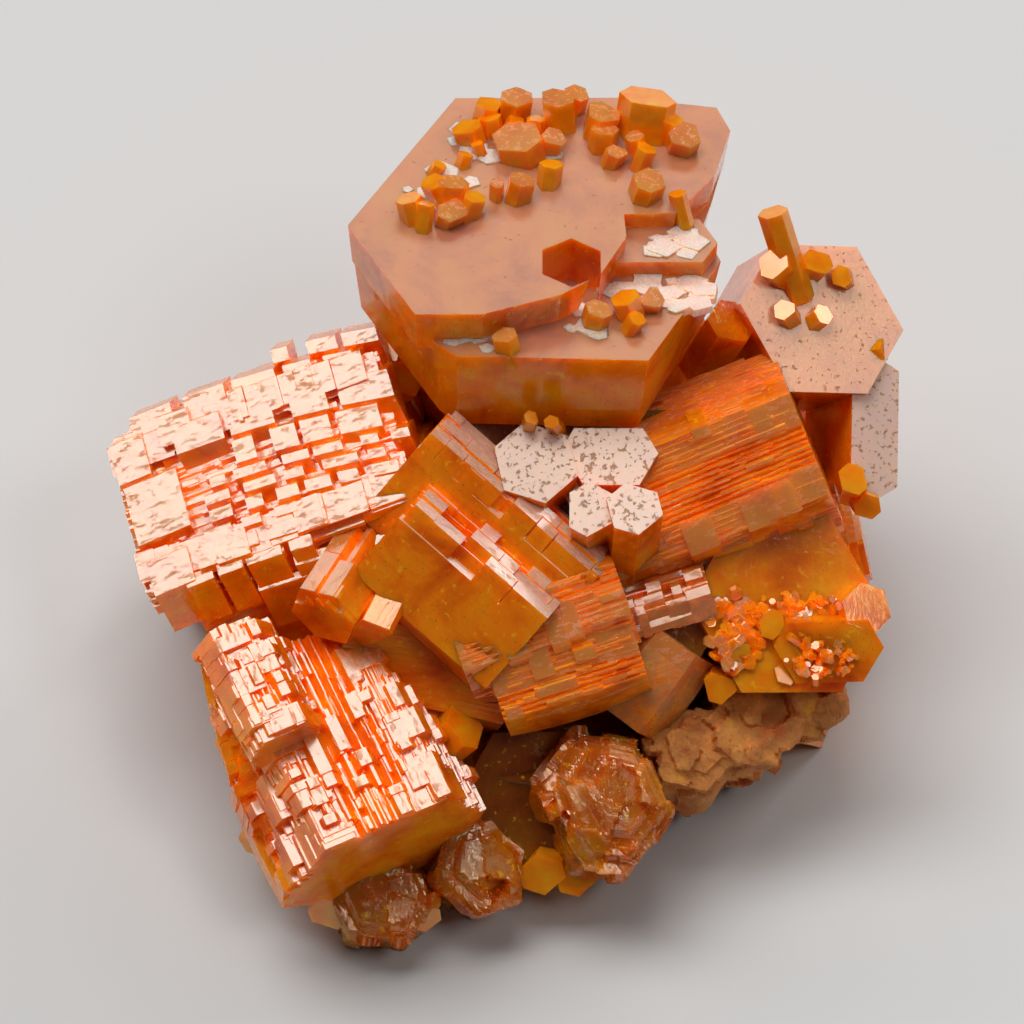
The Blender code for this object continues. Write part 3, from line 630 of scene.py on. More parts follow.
def add_loft(group, place, outline, stations, tilt=0.0):
    """A closed solid through copies of the outline, at each station's height and scale, bottom first."""
    rings = []
    for height, scale in stations:
        rise = 0.0 if rings else tilt
        rings.append([(x * scale, y * scale, height + rise * y) for x, y in outline])
    return add_rings(group, place, rings)


def barrel_scale(share, bulge):
    return 1 - bulge * (2 * share - 1) ** 2


def add_block(group, side, near, far, low, high, top, turn=0.0):
    """A block of a mosaic: its top is square to X, and it runs along Z from -near down to -far."""
    middle = Vector((top, 0.5 * (low + high), -0.5 * (near + far)))
    place = side @ Matrix.Translation(middle) @ Matrix.Rotation(turn, 4, "X")
    half = 0.5 * (high - low)
    run = 0.5 * (far - near)
    foot = half + FLARE * BLOCK_ROOT
    outline = ((-BLOCK_ROOT, -foot), (0.0, -half), (0.0, half), (-BLOCK_ROOT, foot))
    return add_loft(group, place, outline, ((-run, 1.0), (run, 1.0)))


def add_ridges(group, side, low, high, flat, length, bulge, ridges, chance):
    """Narrow ridges side by side, so that no flat face shows between a mosaic's blocks."""
    pitch, least, most = ridges
    rows = max(round((high - low) / pitch), 1)
    width = (high - low) / rows
    for row in range(rows):
        middle = low + (row + 0.5) * width
        near = 0.0
        while near < length:
            far = min(near + chance.uniform(0.6, 2.2), length)
            share = 0.5 * (near + far) / length
            top = flat * barrel_scale(share, bulge) - chance.uniform(least, most)
            half = chance.uniform(*RIDGE_HALF)
            shift = chance.uniform(-0.12, 0.12) * width
            add_block(group, side, near, far, middle + shift - half, middle + shift + half, top)
            near = far


def add_mosaic(group, side, low, high, flat, length, bulge, layout, chance):
    """Rows of raised blocks along one side of a crystal, some wide and some no more than a ridge."""
    rows, longest, shortest, wide = layout
    width = (high - low) / rows
    for row in range(rows):
        middle = low + (row + 0.5) * width + chance.uniform(-0.08, 0.08) * width
        near = chance.uniform(0.0, 0.5) * shortest
        while near < length - 0.3:
            far = min(near + shortest + (longest - shortest) * chance.random() ** 2, length)
            share = 0.5 * (near + far) / length
            top = flat * barrel_scale(share, bulge) + chance.uniform(*BLOCK_RISE)
            if chance.random() < GAP_SHARE:
                near = far
                continue
            if chance.random() < wide:
                half = 0.5 * width * chance.uniform(0.72, 0.98)
                shift = 0.0
            else:
                half = 0.5 * width * chance.uniform(0.04, 0.35)
                shift = chance.uniform(-0.3, 0.3) * width
                top -= 0.15
            add_block(group, side, near, far, middle + shift - half, middle + shift + half, top)
            for _ in range(chance.randint(0, 3)):
                step_near = near + chance.uniform(-0.1, 0.8) * (far - near)
                step_far = step_near + chance.uniform(0.15, 0.7) * (far - near)
                edge = middle + shift + chance.choice((-1, 1)) * half * chance.uniform(0.7, 1.1)
                step_half = chance.uniform(0.04, 0.16) * width
                step_top = top - chance.uniform(0.02, 0.12)
                add_block(group, side, step_near, step_far, edge - step_half, edge + step_half, step_top)
            near = far + chance.uniform(0.01, 0.06)


def add_crystal(name, crystal, base, group, chance):
    """One crystal, from its outer end inwards, with the mosaic of its sides."""
    matrix = base @ oriented(crystal["end"], crystal["out"], crystal["face"])
    length = crystal["length"]
    bulge = crystal.get("bulge", 0.0)
    mosaic = MOSAIC.get(name, {})
    flats = list(crystal["flats"])
    outline = six_sided(flats)
    lowered = six_sided([flat - (BASE_DROP if k in mosaic else 0.0) for k, flat in enumerate(flats)])
    shares = (1.0, 0.8, 0.6, 0.4, 0.2, 0.0) if bulge else (1.0, 0.0)
    add_loft(group, matrix, lowered, [(-length * share, barrel_scale(share, bulge)) for share in shares])
    for scale, rise in crystal.get("terraces", ()):
        inset = 1 - scale
        offset = Matrix.Translation((0.1 * flats[0] * inset, -0.3 * flats[1] * inset, 0.0))
        add_loft(group, matrix @ offset, outline, ((-1.0, scale), (rise, 0.96 * scale)))
    for side, layout in mosaic.items():
        turned = matrix @ Matrix.Rotation(side * SIXTH, 4, "Z")
        normal = Vector((math.cos(side * SIXTH), math.sin(side * SIXTH)))
        across = Vector((-normal.y, normal.x))
        reach = [p.dot(across) for p in outline if p.dot(normal) > flats[side] - ON_SIDE]
        flat = flats[side] - (SUNK.get(name, 0.0) if side == 0 else 0.0)
        ridges = FINE_RIDGES if name in FINE else RIDGES
        add_ridges(group, turned, min(reach), max(reach), flat, length, bulge, ridges, chance)
        add_mosaic(group, turned, min(reach), max(reach), flat, length, bulge, layout, chance)


def band_blocks(chance):
    """The left barrel's wide blocks: each one's height above the axis, width, start and length."""
    blocks = [(above, width, END_START, length) for above, width, length in END_PLATES]
    edge = UPPER_EDGE
    for width, start, stop, usual in BANDS:
        along = start
        while along < stop:
            length = usual * chance.uniform(*LENGTH_RANGE)
            blocks.append((edge - 0.5 * width, width, along, length))
            along += length + chance.uniform(*GAP_RANGE)
        edge -= width + BAND_GAP
    return blocks


def add_plates(group, base, crystal, chance):
    """The wide blocks on a crystal's first side, with every top parallel to that side."""
    local = oriented(crystal["end"], crystal["out"], crystal["face"])
    normal, across, out = (Vector(local.col[k][:3]) for k in range(3))
    if across.y < 0:
        across = -across
    end = Vector(crystal["end"])
    inwards = -out.xy.normalized()
    upwards = Vector((-inwards.y, inwards.x))
    for above, width, start, length in band_blocks(chance):
        along = start + 0.5 * length
        bend = math.radians(ROW_TURN - 0.5 * ROW_BEND * along)
        middle = end.xy + inwards * along + upwards * (above + along * math.tan(bend))
        slope = math.atan2(inwards.y, inwards.x) + math.radians(ROW_TURN - ROW_BEND * along)
        lifted = (normal.dot(end) + crystal["flats"][0] - normal.xy.dot(middle)) / normal.z
        place = Vector((middle.x, middle.y, lifted))
        share = min(max((end - place).dot(out) / crystal["length"], 0.0), 1.0)
        beyond = max(abs((place - end).dot(across)) - EDGE_START, 0.0)
        level = crystal["flats"][0] * barrel_scale(share, crystal["bulge"]) - EDGE_DROP * beyond**2
        level += normal.dot(end) + chance.uniform(-0.12, 0.12)
        run = Vector((math.cos(slope), math.sin(slope))) * 0.5 * length
        fall = Vector((PLATE_LEAN, -1.0)) * 0.5 * width
        corners = (middle - run - fall, middle - run + fall, middle + run + fall, middle + run - fall)
        top = [Vector((c.x, c.y, (level - normal.xy.dot(c)) / normal.z)) for c in corners]
        sink = normal * PLATE_DEPTH
        spread = across * FLARE * PLATE_DEPTH
        foot = [c - sink + spread * s for c, s in zip(top, (1, -1, -1, 1))]
        add_rings(group, base, (foot, top))


def scatter(group, base, middle, spread, count, sizes, out, chance):
    """Tiny crystals strewn round a place."""
    for _ in range(count):
        turned = chance.uniform(0, 2 * math.pi)
        away = chance.random() ** 0.7
        aside = Vector((spread[0] * math.cos(turned), spread[1] * math.sin(turned), 0.0)) * away
        normal = Vector(out)
        aside.z = -normal.xy.dot(aside.xy) / normal.z
        at = Vector(middle) + aside
        lean = Vector([chance.gauss(0, 0.35) for _ in range(3)])
        flat = chance.uniform(*sizes)
        turn = (math.cos(chance.uniform(0, 6)), 1.0, 0.3)
        length = flat * chance.uniform(0.8, 1.6)
        place = base @ oriented(at, Vector(out) + lean, turn)
        outline = six_sided([0.5 * flat * chance.uniform(0.8, 1.15) for _ in range(6)])
        add_loft(group, place, outline, ((-length, 1.0), (0.4 * length, 1.0)))


def remeshed(piece, voxel):
    """Gives a piece even, small faces, so that its surface can be shaped."""
    fine = piece.modifiers.new("even faces", "REMESH")
    fine.mode = "VOXEL"
    fine.voxel_size = voxel * MM
    bpy.context.view_layer.update()
    mesh = bpy.data.meshes.new_from_object(piece.evaluated_get(bpy.context.evaluated_depsgraph_get()))
    piece.modifiers.clear()
    mesh.name = piece.name
    piece.data = mesh


def fracture(piece, cell, step, tilt):
    """Breaks a piece's surface into flat chips, each at a height and slant of its own."""
    noise.seed_set(SEED)  # without it, noise_vector differs from run to run
    mesh = piece.data
    normals = [vertex.normal.copy() for vertex in mesh.vertices]
    for vertex, normal in zip(mesh.vertices, normals):
        place = vertex.co / (cell * MM)
        centre = noise.voronoi(place)[1][0]
        slant = noise.noise_vector(centre * 7.3)
        height = step * noise.noise(centre * 3.1) + tilt * cell * (place - centre).dot(slant)
        height = min(max(height, -step), step)
        vertex.co += normal * height * MM


def crust(piece, grain, height):
    """Roughens a piece's surface with rounded grains."""
    mesh = piece.data
    normals = [vertex.normal.copy() for vertex in mesh.vertices]
    for vertex, normal in zip(mesh.vertices, normals):
        place = vertex.co / (grain * MM)
        rise = noise.fractal(place, 0.9, 2.1, 4)
        vertex.co += normal * rise * height * MM


def outer_shell(mesh):
    """Deletes the inner shells where solids closed round a space."""
    shape = bmesh.new()
    shape.from_mesh(mesh)
    seen = set()
    inner = []
    for start in shape.faces:
        if start in seen:
            continue
        seen.add(start)
        shell = [start]
        for face in shell:
            for other in [other for edge in face.edges for other in edge.link_faces]:
                if other not in seen:
                    seen.add(other)
                    shell.append(other)
        volume = sum(face.calc_center_median().dot(face.normal) * face.calc_area() for face in shell)
        if volume < 0:
            inner.extend(shell)
    bmesh.ops.delete(shape, geom=inner, context="FACES")
    shape.to_mesh(mesh)
    shape.free()


def united(name, group, base, cutters=()):
    """One closed piece from the group's solids, which are removed. The base is the piece's own frame."""
    first = group.objects[0]
    group.objects.unlink(first)
    bpy.context.scene.collection.objects.link(first)
    if group.objects:
        grown = first.modifiers.new("grown together", "BOOLEAN")
        grown.operation = "UNION"
        grown.solver = "MANIFOLD"
        grown.operand_type = "COLLECTION"
        grown.collection = group
    for cutter in cutters:
        cut = first.modifiers.new("cut", "BOOLEAN")
        cut.operation = "DIFFERENCE"
        cut.solver = "MANIFOLD"
        cut.object = cutter
    bpy.context.view_layer.update()
    mesh = bpy.data.meshes.new_from_object(first.evaluated_get(bpy.context.evaluated_depsgraph_get()))
    for helper in [first] + list(group.objects):
        bpy.data.objects.remove(helper, do_unlink=True)
    outer_shell(mesh)
    own = base.copy()
    own.translation *= MM
    mesh.transform(own.inverted())
    mesh.name = name
    piece = bpy.data.objects.new(name, mesh)
    piece.matrix_world = own
    bpy.context.scene.collection.objects.link(piece)
    return piece


def stand(piece):
    """Keeps a shaped piece from reaching below the floor."""
    place = piece.matrix_world
    back = place.inverted()
    for vertex in piece.data.vertices:
        point = place @ vertex.co
        if point.z < 0:
            point.z = 0.0
            vertex.co = back @ point


class Nodes:
    """Short ways to make and link a material's nodes."""

    def __init__(self, name):
        self.material = bpy.data.materials.new(name)
        self.material.use_nodes = True
        self.tree = self.material.node_tree
        self.shader = self.tree.nodes["Principled BSDF"]
        self.shader.subsurface_method = "BURLEY"

    def add(self, kind, inputs=(), **settings):
        node = self.tree.nodes.new(kind)
        for key, value in settings.items():
            setattr(node, key, value)
        for key, value in dict(inputs).items():
            self.set(node.inputs[key], value)
        return node

    def set(self, socket, value):
        if isinstance(value, bpy.types.NodeSocket):
            self.tree.links.new(value, socket)
        else:
            socket.default_value = value

    def place(self, stretch=(1.0, 1.0, 1.0)):
        """The crystal's own coordinates in millimetres, stretched."""
        where = self.add("ShaderNodeTexCoord").outputs["Object"]
        scale = [s / MM for s in stretch]
        return self.add("ShaderNodeMapping", {"Vector": where, "Scale": scale}).outputs[0]

    def noise(self, place, scale, detail=3.0, rough=0.55, distortion=0.0):
        inputs = {"Vector": place, "Scale": scale, "Detail": detail, "Roughness": rough}
        node = self.add("ShaderNodeTexNoise", inputs)
        node.inputs["Distortion"].default_value = distortion
        return node.outputs[0]

    def ramp(self, value, stops):
        node = self.add("ShaderNodeValToRGB", {"Fac": value})
        elements = node.color_ramp.elements
        while len(elements) < len(stops):
            elements.new(0.5)
        for element, (position, colour) in zip(elements, stops):
            element.position = position
            element.color = (*colour, 1.0) if len(colour) == 3 else colour
        return node.outputs[0]

    def span(self, value, low, high, to_low, to_high):
        inputs = {0: value, 1: low, 2: high, 3: to_low, 4: to_high}
        return self.add("ShaderNodeMapRange", inputs).outputs[0]

    def math(self, operation, a, b):
        return self.add("ShaderNodeMath", {0: a, 1: b}, operation=operation).outputs[0]

    def mix(self, share, a, b):
        node = self.add("ShaderNodeMix", data_type="RGBA")
        self.set(node.inputs[0], share)
        self.set(node.inputs[6], a)
        self.set(node.inputs[7], b)
        return node.outputs[2]

    def bump(self, height, strength, distance, below=None):
        inputs = {"Height": height, "Strength": strength, "Distance": distance * MM}
        node = self.add("ShaderNodeBump", inputs)
        if below is not None:
            self.set(node.inputs["Normal"], below)
        return node.outputs[0]

    def finish(self, **inputs):
        for key, value in inputs.items():
            self.set(self.shader.inputs[key.replace("_", " ")], value)
        return self.material


DEEP = (0.60, 0.065, 0.001)
ORANGE = (0.93, 0.20, 0.002)
AMBER = (0.97, 0.32, 0.005)
YELLOW = (0.97, 0.50, 0.015)
TAN = (0.52, 0.18, 0.035)
# PALE and WHITE are mixed into colours as the frosted faces' own paleness and as painted sheen.
PALE = (0.62, 0.40, 0.34)
WHITE = (0.80, 0.62, 0.54)
BROWN = (0.16, 0.045, 0.01)
RUST = (0.34, 0.11, 0.02)
WARM = (1.0, 0.84, 0.62, 1.0)
PALE_TINT = (1.0, 0.94, 0.87, 1.0)
GLOW = (1.0, 0.30, 0.04)  # how far light goes in red, green and blue, as shares of the radius


def crystal_colour(look, clouds, lines, dark, streaks):
    # dark lowers every colour evenly; at its highest, in the finish of the recess crystal, the heart and the
    # root, it is painted shade.
    low, middle, high = ([c * (1 - dark) for c in colour] for colour in (DEEP, ORANGE, AMBER))
    colour = look.ramp(clouds, ((0.28, low), (0.47, middle), (0.64, high), (0.80, YELLOW)))
    return look.mix(look.span(lines, 0.52, 0.72, 0.0, streaks), colour, (*DEEP, 1.0))


def glassy(name="glassy", rough=(0.06, 0.16), line_bump=0.2, dark=0.0, dust=0.0, radius=1.0, streaks=0.2):
    """Translucent crystal, cloudy inside, with fine lines along it and dust where dust is over 0."""
    look = Nodes(name)
    plain = look.place()
    along = look.place((1.0, 1.0, 0.10))
    clouds = look.noise(plain, 0.32, 3.0, 0.6, 0.4)
    lines = look.noise(along, 2.6, 3.0, 0.7)
    grain = look.noise(plain, 9.0, 2.0, 0.7)
    colour = crystal_colour(look, clouds, lines, dark, streaks)
    specks = look.span(grain, 0.64, 0.72, 0.0, 0.7)
    colour = look.mix(specks, colour, (*BROWN, 1.0))
    # Painted glints: yellow flecks in the colour that stand for light caught inside the crystal.
    painted_glints = look.span(look.noise(plain, 2.2, 2.0, 0.7), 0.62, 0.72, 0.0, 0.75)
    colour = look.mix(painted_glints, colour, (*YELLOW, 1.0))
    roughness = look.span(grain, 0.35, 0.7, rough[0], rough[1])
    if dust:
        film = look.noise(plain, 0.7, 5.0, 0.7)
        cover = look.span(film, 0.62 - 0.3 * dust, 0.80 - 0.3 * dust, 0.0, 0.9)
        colour = look.mix(cover, colour, (*TAN, 1.0))
        roughness = look.math("ADD", roughness, look.math("MULTIPLY", cover, 0.4))
    normal = look.bump(lines, line_bump, 0.12)
    normal = look.bump(grain, 0.15, 0.02, normal)
    return look.finish(
        Base_Color=colour,
        Roughness=roughness,
        IOR=2.0,
        Specular_Tint=WARM,
        Subsurface_Weight=1.0,
        Subsurface_Radius=GLOW,
        Subsurface_Scale=radius * MM,
        Normal=normal,
    )


def frosted(name="frosted", rough=0.3, frost_and_sheen=0.08, pits=0.6, pit_from=0.66, pale=PALE, shade=1.0):
    """The satin face across a crystal's end, pale with fine growth and brown pits. Its pale is partly the
    frost's own and partly a painted sheen.
    """
    look = Nodes(name)
    plain = look.place()
    clouds = look.noise(plain, 0.35, 4.0, 0.6, 0.3)
    grain = look.noise(plain, 9.0, 3.0, 0.7)
    holes = look.noise(plain, 3.4, 3.0, 0.65)
    low, middle, high = ([c * shade for c in colour] for colour in (DEEP, ORANGE, AMBER))
    colour = look.ramp(clouds, ((0.3, low), (0.5, middle), (0.8, high)))
    # Pale mixed over the orange: partly the frost's own paleness, partly a painted sheen.
    colour = look.mix(frost_and_sheen, colour, (*pale, 1.0))
    pit = look.span(holes, pit_from, pit_from + 0.04, 0.0, pits)
    colour = look.mix(pit, colour, (*RUST, 1.0))
    satin = look.span(grain, 0.35, 0.7, rough, rough + 0.12)
    roughness = look.math("ADD", satin, look.math("MULTIPLY", pit, 0.4))
    normal = look.bump(grain, 0.2, 0.02)
    normal = look.bump(look.math("SUBTRACT", 1.0, pit), 0.6, 0.06, normal)
    return look.finish(
        Base_Color=colour,
        Roughness=roughness,
        IOR=2.0,
        Specular_Tint=WARM,
        Subsurface_Weight=0.8,
        Subsurface_Radius=GLOW,
        Subsurface_Scale=0.8 * MM,
        Normal=normal,
    )


def facet(name="facet", frost_and_sheen=0.12, rough=0.13, pale=PALE):
    """The flat tops of a mosaic, which mirror the lamps as one. The pale mixed into their colour is partly
    their own frost and partly a painted sheen.
    """
    look = Nodes(name)
    plain = look.place()
    clouds = look.noise(plain, 0.5, 4.0, 0.6, 0.3)
    grain = look.noise(look.place((1.0, 1.0, 0.25)), 8.0, 3.0, 0.7)
    colour = look.ramp(clouds, ((0.3, [0.7 * c for c in ORANGE]), (0.6, [0.7 * c for c in AMBER])))
    # Pale mixed over the orange: partly frost, partly a painted sheen.
    colour = look.mix(frost_and_sheen, colour, (*pale, 1.0))
    worn = look.span(look.noise(look.place((1.0, 1.0, 0.4)), 3.4, 4.0, 0.75), 0.54, 0.62, 0.0, 0.45)
    return look.finish(
        Base_Color=colour,
        Roughness=look.math("ADD", look.span(grain, 0.35, 0.7, rough, rough + 0.12), worn),
        IOR=2.1,
        Specular_Tint=PALE_TINT,
        Subsurface_Weight=1.0,
        Subsurface_Radius=GLOW,
        Subsurface_Scale=1.0 * MM,
        Normal=look.bump(grain, 0.08, 0.02),
    )


def coated(name="coated"):
    """Crystal under a matt tan crust, with yellow and brown patches."""
    look = Nodes(name)
    plain = look.place()
    clouds = look.noise(plain, 0.5, 4.0, 0.6, 0.5)
    grain = look.noise(plain, 5.0, 5.0, 0.75)
    colour = look.ramp(clouds, ((0.3, DEEP), (0.42, TAN), (0.6, (0.78, 0.30, 0.06)), (0.72, YELLOW)))
    colour = look.mix(look.span(grain, 0.3, 0.46, 0.6, 0.0), colour, (*BROWN, 1.0))
    return look.finish(
        Base_Color=colour,
        Roughness=look.span(grain, 0.3, 0.7, 0.45, 0.85),
        IOR=1.5,
        Subsurface_Weight=0.5,
        Subsurface_Radius=GLOW,
        Subsurface_Scale=0.5 * MM,
        Normal=look.bump(grain, 0.8, 0.15),
    )


def amber(name="amber"):
    """Clear orange crystal, as the smallest ones are."""
    look = Nodes(name)
    clouds = look.noise(look.place(), 0.9, 3.0)
    colour = look.ramp(clouds, ((0.3, ORANGE), (0.55, AMBER), (0.9, YELLOW)))
    return look.finish(
        Base_Color=colour,
        Roughness=look.span(clouds, 0.3, 0.7, 0.04, 0.14),
        IOR=2.0,
        Specular_Tint=WARM,
        Transmission_Weight=0.1,
        Subsurface_Weight=1.0,
        Subsurface_Radius=GLOW,
        Subsurface_Scale=0.7 * MM,
    )

# The tabular crystal at the top: outlines round its axis as across and back.

TABLE_MIDDLE = (1.6, 13.9, 4.0)
TABLE_OUT = (0.035, 0.652, 0.758)
ACROSS = (1.0, 0.0, 0.0)
TABLE_UPPER = (
    (-8.7, -1.3),
    (-5.6, -6.7),
    (-2.6, -6.6),
    (0.9, -5.3),
    (2.7, -4.0),
    (3.9, -1.6),
    (3.8, -0.2),
    (6.2, 0.0),
    (8.0, 2.4),
    (8.8, 5.3),
    (8.2, 6.8),
    (3.9, 7.3),
    (-3.9, 7.0),
)
TABLE_MIDDLE_STEP = ((2.6, -2.4), (7.4, -2.2), (8.1, -1.0), (7.3, 0.5), (2.6, 0.3))
TABLE_LOWER = (
    (-8.45, -1.4),
    (-4.6, -6.8),
    (-3.7, -7.5),
    (4.9, -7.5),
    (8.3, -1.3),
    (7.5, 0.8),
    (8.0, 2.5),
    (8.6, 5.2),
    (8.2, 6.8),
    (3.9, 7.2),
    (-3.9, 6.9),
)
TABLE_STEP = 1.8
TABLE_MIDDLE_STEP_DEPTH = 0.9
STEP_ROOT = 0.6
TABLE_DEPTH = 5.1
TABLE_TILT = 0.22
PIT_MIDDLE = (1.4, -3.3)
PIT_RADIUS = 1.4
PIT_DEPTH = 2.6
TABLE_SMALL = (
    (-6.0, -0.4, 0.9, 1.1, (-0.3, 0.4)),
    (-3.9, 0.4, 1.2, 1.3, (0.1, 0.3)),
    (-4.0, -1.0, 0.8, 1.2, (0.2, -0.2)),
    (-2.0, 0.7, 0.9, 0.7, (0.0, 0.1)),
    (-0.9, 0.9, 1.0, 1.2, (0.2, 0.2)),
    (0.5, 2.0, 0.9, 1.0, (0.1, 0.4)),
    (-1.2, 3.6, 0.9, 2.0, (-0.2, 0.1)),
    (0.6, 3.8, 0.9, 1.1, (0.3, 0.0)),
    (-3.4, 4.5, 0.7, 1.2, (-0.3, 0.2)),
    (-2.4, 5.8, 0.9, 1.2, (0.2, 0.3)),
    (-1.0, 6.0, 1.2, 1.4, (0.1, 0.1)),
    (0.8, 5.9, 1.3, 1.7, (-0.1, 0.3)),
    (2.9, 5.3, 1.0, 1.6, (0.2, 0.2)),
    (5.0, 5.9, 1.5, 2.2, (0.1, 0.4)),
    (3.5, 3.1, 0.7, 0.9, (0.3, 0.1)),
    (4.3, 3.9, 0.9, 0.9, (-0.2, 0.2)),
    (6.6, 4.0, 1.0, 1.4, (0.1, -0.2)),
    (5.0, 1.2, 0.8, 1.5, (0.2, 0.1)),
    (2.6, -5.3, -0.9, 1.1, (0.2, 0.1)),
    (3.8, -4.6, -0.9, 1.2, (-0.3, 0.2)),
    (5.1, -4.4, -1.0, 1.0, (0.1, -0.3)),
    (4.4, -5.6, -1.1, 0.9, (0.4, 0.1)),
    (-1.6, -6.9, -1.0, 1.0, (-0.2, 0.1)),
    (-3.4, 2.9, 0.5, 0.7, (0.3, 0.5)),
    (-2.3, 5.1, 0.8, 0.9, (-0.2, 0.3)),
    (-1.1, 4.9, 0.7, 0.8, (0.4, 0.1)),
    (2.9, 4.4, 0.9, 1.2, (0.1, 0.3)),
    (4.8, 3.2, 0.9, 0.9, (0.3, 0.3)),
    (6.2, 0.6, 0.6, 0.7, (-0.3, 0.4)),
    (-4.9, 0.6, 1.0, 1.0, (-0.4, 0.1)),
    (-5.2, -0.9, 1.1, 0.7, (0.1, 0.5)),
    (1.7, 6.6, 0.9, 1.0, (0.2, 0.1)),
    (-0.2, 5.0, 0.8, 0.8, (0.1, 0.4)),
    (-4.6, 2.2, 0.5, 0.6, (0.5, 0.2)),
    (-2.9, 3.6, 0.5, 0.6, (-0.4, 0.4)),
    (-3.0, -0.2, 0.9, 1.0, (0.3, 0.3)),
    (6.1, 5.0, 1.0, 1.0, (0.3, 0.2)),
)
SHARDS = (  # middle across and back, spread each way, how far below the face, and how many
    (5.4, -3.2, 2.2, 1.2, TABLE_STEP, 34),
    (6.1, -1.2, 1.3, 0.7, TABLE_MIDDLE_STEP_DEPTH, 14),
    (-2.9, -6.4, 1.3, 0.7, TABLE_STEP, 14),
    (2.2, -5.6, 1.2, 1.0, TABLE_STEP, 10),
    (-4.6, 0.9, 1.6, 1.4, 0.0, 14),
    (-1.8, 4.0, 2.4, 1.6, 0.0, 14),
)
SHARD_CORNERS = (0.0, 1.3, 2.1, 3.6, 5.0)  # radians round a patch
SMALL_ROOT = 0.8
SMALL_FACE = (0.3, 1.0, 0.1)


def new_group(name):
    group = bpy.data.collections.new(name)
    bpy.context.scene.collection.children.link(group)
    return group


def add_small(group, matrix, across, length, chance):
    """A small crystal with sides of uneven width, down from its end."""
    flats = [0.5 * across * chance.uniform(0.8, 1.15) for _ in range(6)]
    add_loft(group, matrix, six_sided(flats), ((-length, 1.0), (0.0, 1.0)))


def make_patches(place, chance):
    """Thin pale growths on the tabular crystal's steps."""
    shards = new_group("shards")
    for middle, back, spread, depth, drop, count in SHARDS:
        for _ in range(count):
            x = middle + chance.uniform(-spread, spread)
            y = back + chance.uniform(-depth, depth)
            if abs(x - middle) / spread + abs(y - back) / depth > 1.4:
                continue
            size = chance.uniform(0.2, 0.95)
            turn = chance.uniform(0, 6)
            rise = chance.uniform(0.02, 0.12)
            corners = [turn + k for k in SHARD_CORNERS]
            outline = [(size * math.cos(a), 0.75 * size * math.sin(a)) for a in corners]
            level = Matrix.Translation((x, y, -drop))
            add_loft(shards, place @ level, outline, ((-0.3, 1.0), (rise, 0.9)))
    return united("tabular_frosted_patches", shards, place)


def make_table(lean):
    """The tabular crystal in three steps, with its pit, and what grew on it."""
    place = lean @ oriented(TABLE_MIDDLE, TABLE_OUT, ACROSS)
    group = new_group("table")
    root = -TABLE_STEP - STEP_ROOT
    add_loft(group, place, TABLE_UPPER, ((root, 0.975), (0.0, 1.0)))
    add_loft(group, place, TABLE_MIDDLE_STEP, ((root, 1.0), (-TABLE_MIDDLE_STEP_DEPTH, 1.0)))
    add_loft(group, place, TABLE_LOWER, ((-TABLE_DEPTH, 0.95), (-TABLE_STEP, 1.0)), TABLE_TILT)
    pit_place = place @ Matrix.Translation((PIT_MIDDLE[0], PIT_MIDDLE[1], 0.0))
    pit_outline = six_sided([PIT_RADIUS] * 6)
    pit = add_loft(new_group("table_tools"), pit_place, pit_outline, ((-PIT_DEPTH, 0.9), (4.0, 1.0)))
    table = united("tabular_crystal", group, place, [pit])
    bpy.data.objects.remove(pit, do_unlink=True)
    small = new_group("small")
    chance = random.Random(SEED)
    for across, back, height, flat, lean_by in TABLE_SMALL:
        out = (lean_by[0], lean_by[1], 1.0)
        at = place @ oriented((across, back, height), out, (lean_by[1], lean_by[0] + 0.1, 0.0))
        add_small(small, at, flat, SMALL_ROOT + max(height, 0.9), chance)
    return table, united("tabular_small_crystals", small, place), make_patches(place, chance)

CAMERA_TARGET = (0.32, 0.14, 0.0)
CAMERA_DISTANCE = 236.5
LENS = 180
SENSOR = 36
FLOOR_SIDE = 3.0
LIGHT_DISTANCE = 0.7
FACING = 0.95


def add_camera(lean):
    target = lean @ Vector(CAMERA_TARGET)
    towards = Vector((0.0, -math.cos(LOOK_DOWN), math.sin(LOOK_DOWN)))
    data = bpy.data.cameras.new("camera")
    data.lens = LENS
    data.sensor_width = SENSOR
    data.clip_start = 0.01
    camera = bpy.data.objects.new("camera", data)
    camera.location = (target + towards * CAMERA_DISTANCE) * MM
    camera.rotation_euler = towards.to_track_quat("Z", "Y").to_euler()
    bpy.context.scene.collection.objects.link(camera)
    bpy.context.scene.camera = camera


def add_softbox(name, towards, across, width, height, radiance):
    """A soft light towards a direction from the object, its width along across, both in degrees."""
    away = Vector(towards).normalized()
    data = bpy.data.lights.new(name, "AREA")
    data.shape = "RECTANGLE"
    data.size = 2 * LIGHT_DISTANCE * math.tan(math.radians(0.5 * width))
    data.size_y = 2 * LIGHT_DISTANCE * math.tan(math.radians(0.5 * height))
    data.energy = radiance * 4 * data.size * data.size_y
    light = bpy.data.objects.new(name, data)
    light.matrix_world = oriented(away * LIGHT_DISTANCE + Vector((0.0, 0.0, 0.012)), away, across)
    bpy.context.scene.collection.objects.link(light)


